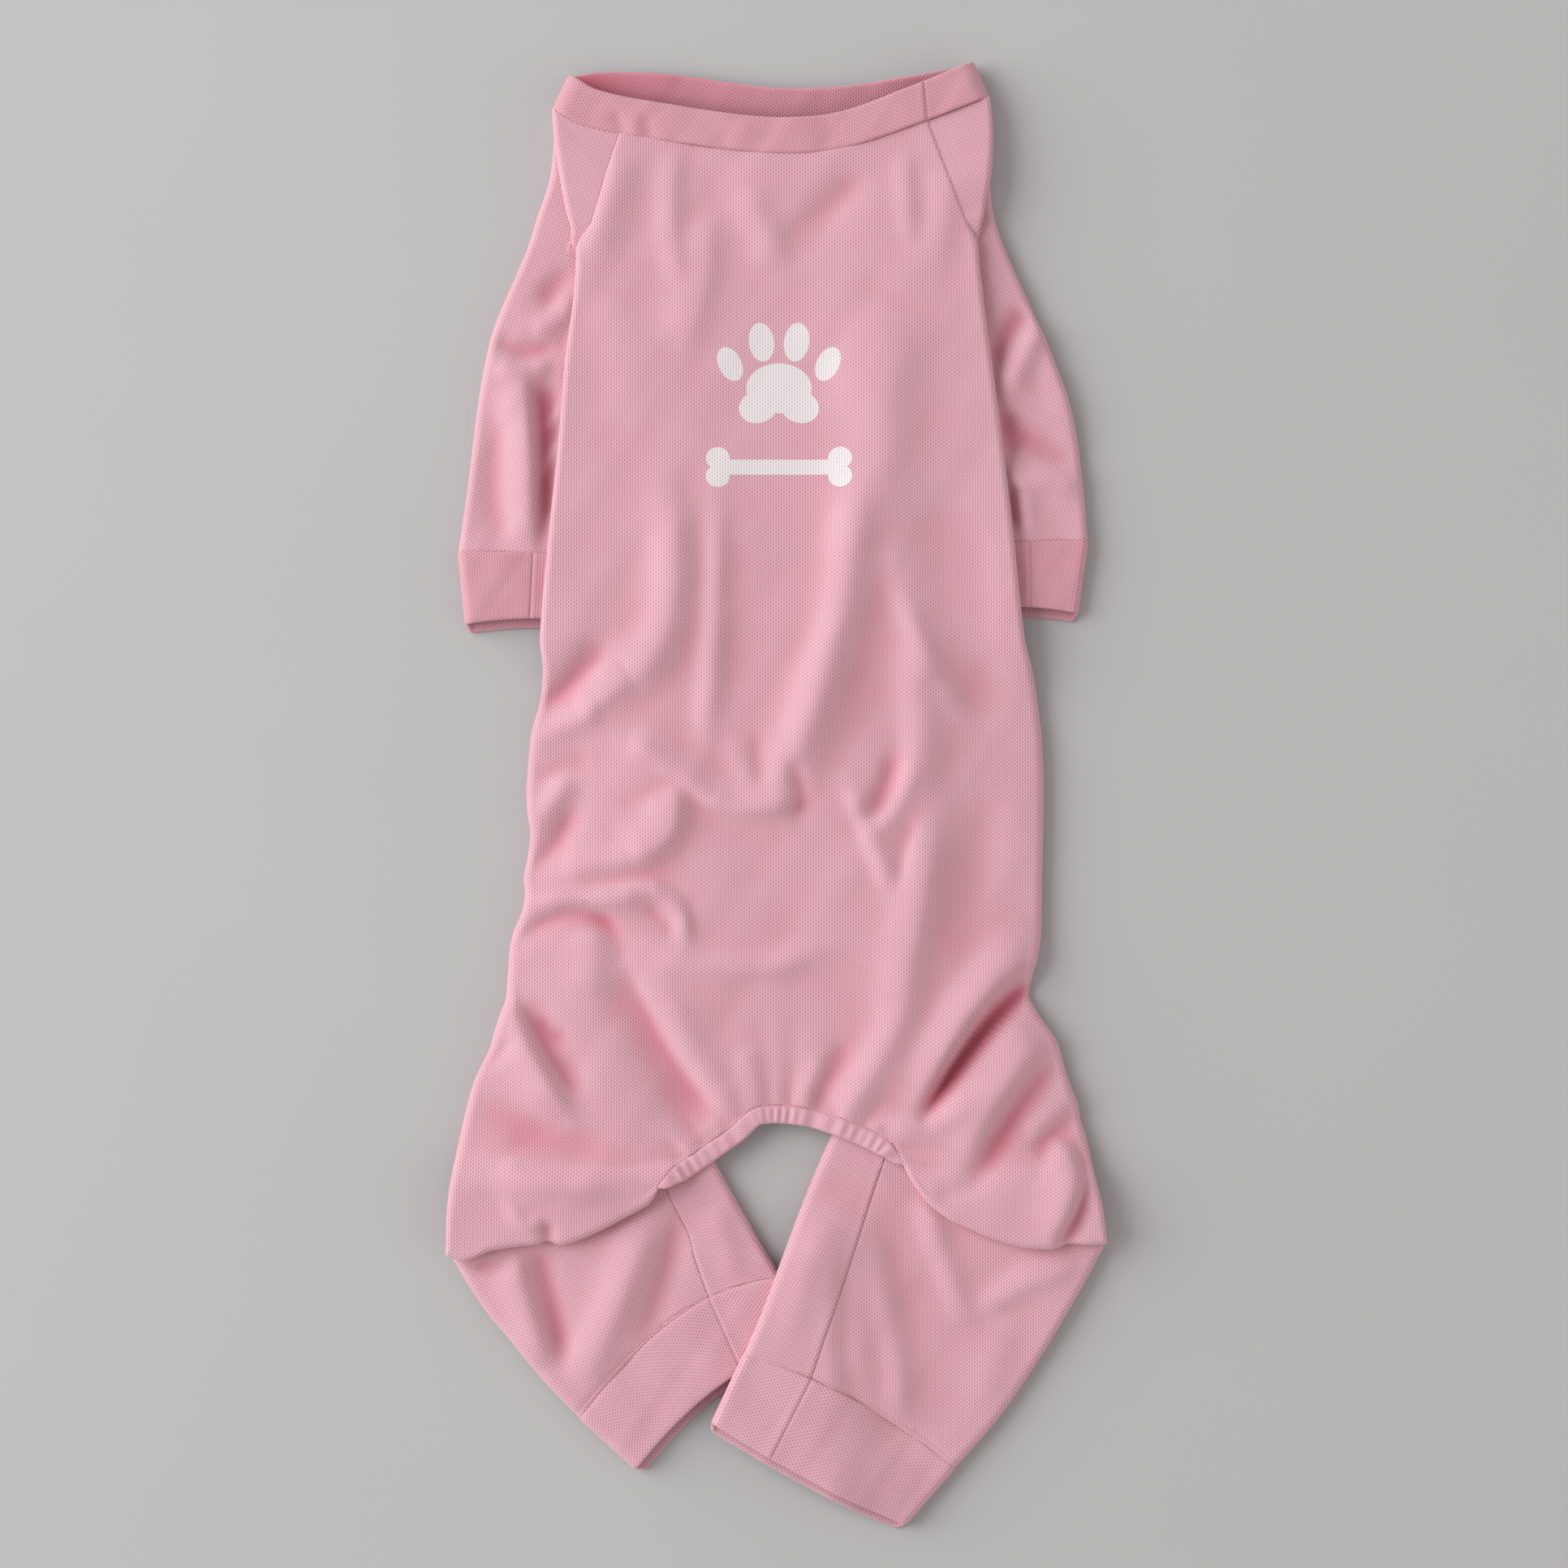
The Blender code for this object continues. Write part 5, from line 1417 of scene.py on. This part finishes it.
def make_hind_leg(side):
    inner, outer, bow, seam = leg_stations(side)
    points, rise, column = flat_tube(inner, outer, bow, FLOOR_LAYER, FLOOR_LAYER + LEG_LOFT, LEG_ACROSS, seam)
    across, along = shares_of(points)
    relief = FOLD_LOFT * fold_relief(LEG_FOLDS[side], across, along) + swell(points[..., 0], points[..., 1])
    points[..., 2] += relief * beyond_thigh(across, along) * smooth_step(rise)
    if side == "right":
        points[..., 2] += crossing_lift(points)
    press_seam(points, column)
    edge_rows = len(EDGE_ROWS)
    points[-edge_rows:, :, 2] -= edge_turn(EDGE_ROWS[::-1])[:, None] * smooth_step(rise[-edge_rows:])
    sheets = []
    for part, turn in zip((points[:, : column + 1], points[:, column:]), LEG_GRAIN[side]):
        sheets.append((part, turned_cut(part[..., 0], part[..., 1], turn)))
    cloth_piece(f"hind_leg_{side}", sheets, mesh_knit)


for side in ("left", "right"):
    make_hind_leg(side)

# %% [markdown]
# ## Doubled bands
#
# Neckband and cuffs are strips of the same knit folded double, so their free edge is a soft round fold and
# not a cut. A band is therefore swept as a closed ring with a rounded section, like a flattened O-ring.

# %% Band section
BAND_FACE_STEPS = 16
BAND_EDGE_STEPS = 4
# Height of the slow swell on a band's upper wall as a share of the back's, and how much shorter its waves are
BAND_SWELL = 0.8
BAND_WAVES = 1.8


def band_section(height, wall):
    """Share up the band and distance from its middle, for each point round its section."""
    radius = wall / 2
    inset = radius / height
    up = np.linspace(inset, 1 - inset, BAND_FACE_STEPS + 1)
    turn = math.pi * np.arange(1, BAND_EDGE_STEPS) / BAND_EDGE_STEPS
    over = [(1 - inset + inset * math.sin(a), radius * math.cos(a)) for a in turn]
    below = [(inset - inset * math.sin(a), -radius * math.cos(a)) for a in turn]
    section = [(s, radius) for s in up] + over + [(s, -radius) for s in up[::-1]] + below
    return np.array(section + section[:1])


def band_ring(seam_line, free_line, height, wall):
    """Points of a band between the line where it is sewn on and its free edge: a row for each point of its
    section, a column for each point round the ring.
    """
    up = free_line - seam_line
    along = np.roll(seam_line[:-1], -1, axis=0) - np.roll(seam_line[:-1], 1, axis=0)
    along = np.concatenate((along, along[:1]))
    out = np.cross(along, up)
    out /= np.linalg.norm(out, axis=1)[:, None]
    section = band_section(height, wall)
    return seam_line[None] + up[None] * section[:, :1, None] + out[None] * section[:, 1:, None]


def band_cut(points, height, wall):
    section = band_section(height, wall)
    around = distances(points[0])
    return np.stack(np.broadcast_arrays(around[None, :], -section[:, :1] * height), axis=-1)


def band_piece(name, node, points, height, wall, material=band_knit):
    upper = np.clip((points[..., 2] - BAND_WALL) / CUFF_LOFT, 0.0, 1.0)
    points[..., 2] += BAND_SWELL * upper * swell(points[..., 0] * BAND_WAVES, points[..., 1] * BAND_WAVES)
    bm = bmesh.new()
    add_grid(bm, points, band_cut(points, height, wall))
    piece = mesh_object(name, bm, BAND_MERGE)
    dress(piece, node, material)
    print(name, len(piece.data.polygons), "quads")
    return piece


# %% Front cuffs
# The two ends of the seam line, the way each end of the band runs, and where the band's own seam starts and
# ends
FRONT_CUFFS = {
    "left": ((-0.657, 0.415), (-1.350, 0.411), (0.00, -1.0), (0.10, -1.0), 0.547, 0.594),
    "right": ((0.660, 0.402), (1.309, 0.400), (0.00, -1.0), (-0.14, -1.0), 0.633, 0.678),
}
FAR_LAYER = 0.0045
CUFF_ACROSS = 66


def cuff_lines(ends, ways, height, bows, seams, far_layer):
    """Seam line and free edge of a cuff, pressed flat, and the column that follows its own seam."""
    edges = []
    for place, way in zip(ends, ways):
        way = Vector((*way, 0.0)).normalized()
        edges.append(np.array([(place_at(*place) + way * down)[:2] for down in (-SEAM_LAP, height)]))
    bow = np.array(bows) * (CHEST_HALF, -BACK_LENGTH)
    low = BAND_WALL / 2
    lines, rise, column = flat_tube(*edges, bow, low, low + CUFF_LOFT, CUFF_ACROSS, np.array(seams))
    way = lines[1] - lines[0]
    way[:, 2] = 0
    way /= np.linalg.norm(way, axis=1)[:, None]
    lines[1] += way * (far_layer * smooth_step(-rise[0]))[:, None]
    return lines[0], lines[1], column


def press_band_seam(points, column):
    """Presses a band along its own seam, on the face that shows."""
    side = band_section(1.0, BAND_WALL)[:, 1]
    upper, lower = (points[side * sign > 0, column, 2].mean() for sign in (1, -1))
    outer = side > 0 if upper > lower else side < 0
    line = points[outer]
    press_seam(line, column)
    points[outer] = line


def make_front_cuff(side):
    inner, outer, inner_way, outer_way, seam_start, seam_end = FRONT_CUFFS[side]
    bows = ((0.0, 0.0), (0.0, -0.008))
    seam_line, free_line, column = cuff_lines(
        (inner, outer), (inner_way, outer_way), FRONT_CUFF_HEIGHT, bows, (seam_start, seam_end), FAR_LAYER
    )
    points = band_ring(seam_line, free_line, FRONT_CUFF_HEIGHT, BAND_WALL)
    press_band_seam(points, column)
    return band_piece(f"front_cuff_{side}_band", f"front_cuff_{side}", points, FRONT_CUFF_HEIGHT, BAND_WALL)


for side in ("left", "right"):
    make_front_cuff(side)

# %% Hind cuffs
# Ways of the inner and outer end of the band, bow of the free edge, and where the band's own seam ends
HIND_CUFFS = {
    "left": ((0.42, -0.91), (0.74, -0.67), (0.00, -0.026), 0.40),
    "right": ((-0.39, -0.84), (-0.66, -0.75), (0.00, 0.004), 0.30),
}


def make_hind_cuff(side):
    inner, outer, seam_bow, seam_start = HIND_LEGS[side][-1]
    inner_way, outer_way, edge_bow, seam_end = HIND_CUFFS[side]
    seam_line, free_line, column = cuff_lines(
        (inner, outer), (inner_way, outer_way), HIND_CUFF_HEIGHT, (seam_bow, edge_bow),
        (seam_start, seam_end), FAR_LAYER,
    )
    if side == "right":
        seam_line[:, 2] += crossing_lift(seam_line)
        free_line[:, 2] += crossing_lift(free_line)
    points = band_ring(seam_line, free_line, HIND_CUFF_HEIGHT, BAND_WALL)
    press_band_seam(points, column)
    node = f"hind_cuff_{side}"
    return band_piece(f"{node}_band", node, points, HIND_CUFF_HEIGHT, BAND_WALL, mesh_knit)


for side in ("left", "right"):
    make_hind_cuff(side)

# %% [markdown]
# ## Neckband
#
# The neckband is the same doubled strip as a wide flattened ring. Its far wall stands further up the page
# than its near one, so the inside of the far wall shows in the opening, where it is given painted shade.

# %% Neckband
NECK_ACROSS = 150
NECK_SEAM_SHARES = (0.717, 0.759)
NECK_NARROWING = 0.924
FAR_RIM_LIFT = 0.0065
NECK_FOLDS = (
    (-0.63, -0.004, -0.66, -0.022, -0.70, -0.038, -0.05, 0.03, 0.03),
    (-0.52, -0.002, -0.55, -0.020, -0.56, -0.036, -0.045, 0.03, 0.03),
    (-0.20, 0.000, -0.16, -0.015, -0.15, -0.030, 0.03, 0.05, 0.05),
    (0.22, 0.000, 0.20, -0.018, 0.22, -0.034, -0.03, 0.05, 0.05),
)
# Painted shade on the inside of the far wall: share of the half width, depth of painted shade
INSIDE_PAINTED_SHADE = (
    (-1.00, 2.10),
    (-0.85, 1.90),
    (-0.60, 1.15),
    (-0.20, 0.60),
    (0.30, 0.45),
    (0.75, 0.70),
    (1.00, 1.20),
)


def paint_shade_inside(piece):
    """Paints shade on the upward face of the far wall, the inside of the neck, as deep as a fold's."""
    mesh = piece.data
    mid_z = LAID_AT.z + (BAND_WALL + NECK_LOFT) / 2
    mid_x = LAID_AT.x + NECK_MIDDLE * CHEST_HALF
    shade_values = mesh.attributes["painted_fold_shade"].data
    for vert in mesh.vertices:
        if vert.normal.z > 0.2 and vert.co.z < mid_z + FAR_RIM_LIFT / 3:
            share = np.clip((vert.co.x - mid_x) / (NECK_HALF * CHEST_HALF), -1.0, 1.0)
            shade_values[vert.index].value = float(read_table(INSIDE_PAINTED_SHADE, share)[0])


def make_neckband():
    low = BAND_WALL / 2
    high = float(top_height(np.float64(NECK_MIDDLE), np.float64(0.0))) + (BAND_WALL - CLOTH) / 2
    half_width = NECK_HALF * CHEST_HALF
    ends = np.array(((half_width, 0.0), (half_width * NECK_NARROWING, 0.0)))
    lines, rise, column = flat_tube(
        -ends, ends, np.zeros((2, 2)), low, high, NECK_ACROSS, (1 + np.array(NECK_SEAM_SHARES)) / 2
    )
    rise = rise[0]
    for line, height in zip(lines, (-SEAM_LAP, NECKBAND_HEIGHT)):
        share = line[:, 0] / abs(line[:, 0]).max()
        on_back, on_underside = read_table(NECK_SEAM, share)
        line[:, 0] += NECK_MIDDLE * CHEST_HALF
        line[:, 1] = height - BACK_LENGTH * np.where(rise > 0, on_back, on_underside)
    seam_line, free_line = lines
    free_line[:, 2] += FAR_RIM_LIFT * smooth_step(-rise) * (1 - share**6)
    points = band_ring(seam_line, free_line, NECKBAND_HEIGHT, BAND_WALL)
    press_band_seam(points, column)
    dents = fold_relief(NECK_FOLDS, *shares_of(points))
    points[..., 2] += FOLD_LOFT * dents * smooth_step(rise)[None, :]
    piece = band_piece("neckband_ring", "neckband", points, NECKBAND_HEIGHT, BAND_WALL)
    # Painted shade on the inside of the far wall
    paint_shade_inside(piece)


make_neckband()

# %% [markdown]
# ## Rump casing
#
# The elastic runs in a narrow casing along the rump's arc. The casing is one more rounded section, swept
# along the hem of the back panel, and the same uneven wave as the gathers above it ruffles its face.

# %% Rump casing
CASING_COLUMNS = 420
CASING_RUFFLE = 0.00046
# Length of the gathered cloth for each length of hem
CASING_FULLNESS = 1.3
# How far above the casing its row of stitches runs
STITCH_RISE = 0.0007


def hem_points(spread, above=0.0):
    """Places on the top wall of the back, at a distance above its hem."""
    return back_top_points(spread[None, :], np.full((1, 1), 1 - above / BACK_LENGTH))[0]


def make_casing():
    span = 0.5 * CASING_TAPER
    spread = np.linspace(CASING_ENDS[0] + span * 0.6, CASING_ENDS[1] - span * 0.6, CASING_COLUMNS + 1)
    hem = hem_points(spread)
    depth = CASING_HEIGHT * casing_share(spread)
    taper = smooth_step(np.minimum(spread - spread[0], spread[-1] - spread) / 0.02)
    section = band_section(CASING_HEIGHT, CASING_WALL)
    up_share = 1 - section[:, :1]
    way = hem[np.minimum(np.arange(len(hem)) + 9, len(hem) - 1)] - hem[np.maximum(np.arange(len(hem)) - 9, 0)]
    out = np.stack((way[:, 1], -way[:, 0]), axis=-1) / np.hypot(way[:, 0], way[:, 1])[:, None]
    down = (depth[None, :] * up_share - SEAM_LAP) * taper[None, :]
    bulge = np.sin(math.pi * up_share) ** 0.6
    strength = read_table(GATHER_STRENGTH, spread)[0] * (0.62 + 0.38 * np.sin(hem[:, 0] / 0.0043 + 0.9))
    turns = gather_phase(hem[:, 0])[None, :] + 0.22 * (up_share - 0.5)
    ruffle = CASING_RUFFLE * strength[None, :] * np.sin(math.pi * turns) * bulge
    points = np.repeat(hem[None], len(section), axis=0)
    points[..., :2] += down[..., None] * out[None]
    points[..., 2] += (section[:, 1:] * (0.8 + 0.35 * bulge) + ruffle) * (0.02 + 0.98 * taper[None, :])
    along_hem = distances(hem) * CASING_FULLNESS
    cut = np.stack(np.broadcast_arrays(along_hem[None, :], -up_share * CASING_HEIGHT), axis=-1)
    bm = bmesh.new()
    add_grid(bm, points, cut)
    bmesh.ops.holes_fill(bm, edges=[e for e in bm.edges if e.is_boundary])
    piece = mesh_object("rump_casing_ruffle", bm, BAND_MERGE)
    dress(piece, "rump_casing", casing_knit)
    return piece, hem_points(spread, STITCH_RISE)


casing, stitch_line = make_casing()
print("casing:", len(casing.data.polygons), "quads")

# %% [markdown]
# One row of lockstitch closes the casing. Each stitch is a tiny stretched ball of thread, half sunk in the
# panel just above the casing, in a dark pink that is partly the thread's own colour and partly painted shade
# for the little dark needle holes.

# %% Stitches
STITCH_PITCH = 0.00150
STITCH_LENGTH = 0.00105
STITCH_WIDTH = 0.00042
# Thread's own dark pink, deepened as painted shade of the needle holes
THREAD_AND_HOLE_SHADE = (0.42, 0.10, 0.16)


def thread_and_hole_shade_material():
    nodes = Nodes("stitch_thread_and_hole_shade")
    place = nodes.add("ShaderNodeTexCoord").outputs["Object"]
    twist = nodes.noise(place, 1800.0, 2.0)
    nodes.join(nodes.mix(twist, THREAD_AND_HOLE_SHADE, KNIT_DEEP), nodes.shader.inputs["Base Color"])
    nodes.shader.inputs["Roughness"].default_value = 0.7
    return nodes.material


def make_stitches():
    distance = distances(stitch_line)
    bm = bmesh.new()
    for place in np.arange(2 * STITCH_PITCH, distance[-1] - STITCH_PITCH, STITCH_PITCH):
        spot = Vector([np.interp(place, distance, stitch_line[:, axis]) for axis in range(3)])
        ahead = Vector([np.interp(place + 0.001, distance, stitch_line[:, axis]) for axis in range(3)])
        way = ahead - spot
        made = bmesh.ops.create_icosphere(bm, subdivisions=1, radius=0.5)
        bmesh.ops.scale(bm, vec=(STITCH_LENGTH, STITCH_WIDTH, STITCH_WIDTH), verts=made["verts"])
        turn = Vector((1, 0, 0)).rotation_difference(way).to_matrix()
        bmesh.ops.rotate(bm, cent=(0, 0, 0), matrix=turn, verts=made["verts"])
        move = spot + LAID_AT + Vector((0.0, 0.0, CLOTH / 2))
        bmesh.ops.translate(bm, vec=move, verts=made["verts"])
    mesh = finished_mesh("casing_stitches", bm)
    mesh.shade_smooth()
    piece = show("casing_stitches", mesh)
    dress(piece, None, thread_and_hole_shade_material())
    return piece


stitches = make_stitches()

# %% [markdown]
# ## What each sheet was cut to
#
# Every piece of cloth is listed with the size it had flat, and its measured area is printed beside it. The
# widths go round the tubes.

# %% Flat sizes
# name: width, length, area in square metres, how it is held
FLAT_SIZES = {
    "back_panel_cloth": (0.48, 0.58, 0.190, "laid"),
    "belly_panel_cloth": (0.235, 0.53, 0.071, "laid"),
    "front_sleeve_left_cloth": (0.21, 0.22, 0.035, "laid"),
    "front_sleeve_right_cloth": (0.20, 0.22, 0.033, "laid"),
    "front_cuff_left_band": (0.160, 0.037, None, "stretched"),
    "front_cuff_right_band": (0.150, 0.037, None, "stretched"),
    "hind_leg_left_cloth": (0.27, 0.15, 0.030, "folded"),
    "hind_leg_right_cloth": (0.28, 0.17, 0.036, "folded"),
    "hind_cuff_left_band": (0.225, 0.038, None, "stretched"),
    "hind_cuff_right_band": (0.235, 0.038, None, "stretched"),
    "neckband_ring": (0.420, 0.0175, None, "stretched"),
    "rump_casing_ruffle": (0.140, 0.010, None, "gathered"),
}
for name, (width, length, area, held) in FLAT_SIZES.items():
    print(name, "measures", round(measured_area(pieces[name]), 4), "of", area or round(width * length, 4))

# %% [markdown]
# ## Floor and light
#
# The floor is a plain pale sheet of paper. One large soft light from the upper left models the folds. A weak
# warm one from the right stands for a wall that throws light back, and an even grey surround fills the rest,
# so that the shadows stay open and pink.

# %% Floor and light
FLOOR_HALF = 4.0
FLOOR_GAP = 0.0002
FLOOR_COLOUR = (0.515, 0.512, 0.515)
KEY_PLACE = (-3.4, 1.0, 2.0)
KEY_SIZE = 3.8
KEY_POWER = 205.0
BOUNCE_PLACE = (3.0, -1.0, 1.5)
BOUNCE_SIZE = 3.0
BOUNCE_POWER = 24.0
BOUNCE_COLOUR = (1.0, 0.88, 0.86)
FILL_LEVEL = 0.46
FILL_COLOUR = (1.0, 0.955, 0.94)
KEY_COLOUR = (0.97, 0.985, 1.0)


def floor_material():
    nodes = Nodes("pale_floor")
    place = nodes.add("ShaderNodeTexCoord").outputs["Object"]
    colour = nodes.mix(nodes.noise(place, 6.0, 3.0), FLOOR_COLOUR, [c * 0.97 for c in FLOOR_COLOUR])
    nodes.join(colour, nodes.shader.inputs["Base Color"])
    nodes.shader.inputs["Roughness"].default_value = 0.9
    nodes.shader.inputs["Specular IOR Level"].default_value = 0.2
    return nodes.material


bm = bmesh.new()
bmesh.ops.create_grid(bm, x_segments=1, y_segments=1, size=FLOOR_HALF)
bmesh.ops.translate(bm, vec=(0.0, 0.0, cad_box[0][2] - FLOOR_GAP), verts=bm.verts)
floor = show("pale_floor", finished_mesh("pale_floor", bm))
floor.data.materials.append(floor_material())


def soft_light(name, place, size, power, colour):
    """A square area light that looks at the middle of the floor."""
    light = bpy.data.lights.new(name, "AREA")
    light.shape = "SQUARE"
    light.size = size
    light.energy = power
    light.color = colour
    lamp = show(name, light)
    lamp.location = place
    lamp.rotation_euler = (-Vector(place)).to_track_quat("-Z", "Y").to_euler()


soft_light("key", KEY_PLACE, KEY_SIZE, KEY_POWER, KEY_COLOUR)
soft_light("bounce", BOUNCE_PLACE, BOUNCE_SIZE, BOUNCE_POWER, BOUNCE_COLOUR)

world = bpy.data.worlds.new("grey_surround")
world.use_nodes = True
world.node_tree.nodes["Background"].inputs["Color"].default_value = (*FILL_COLOUR, 1.0)
world.node_tree.nodes["Background"].inputs["Strength"].default_value = FILL_LEVEL
bpy.context.scene.world = world
bpy.context.scene.view_settings.view_transform = "Standard"
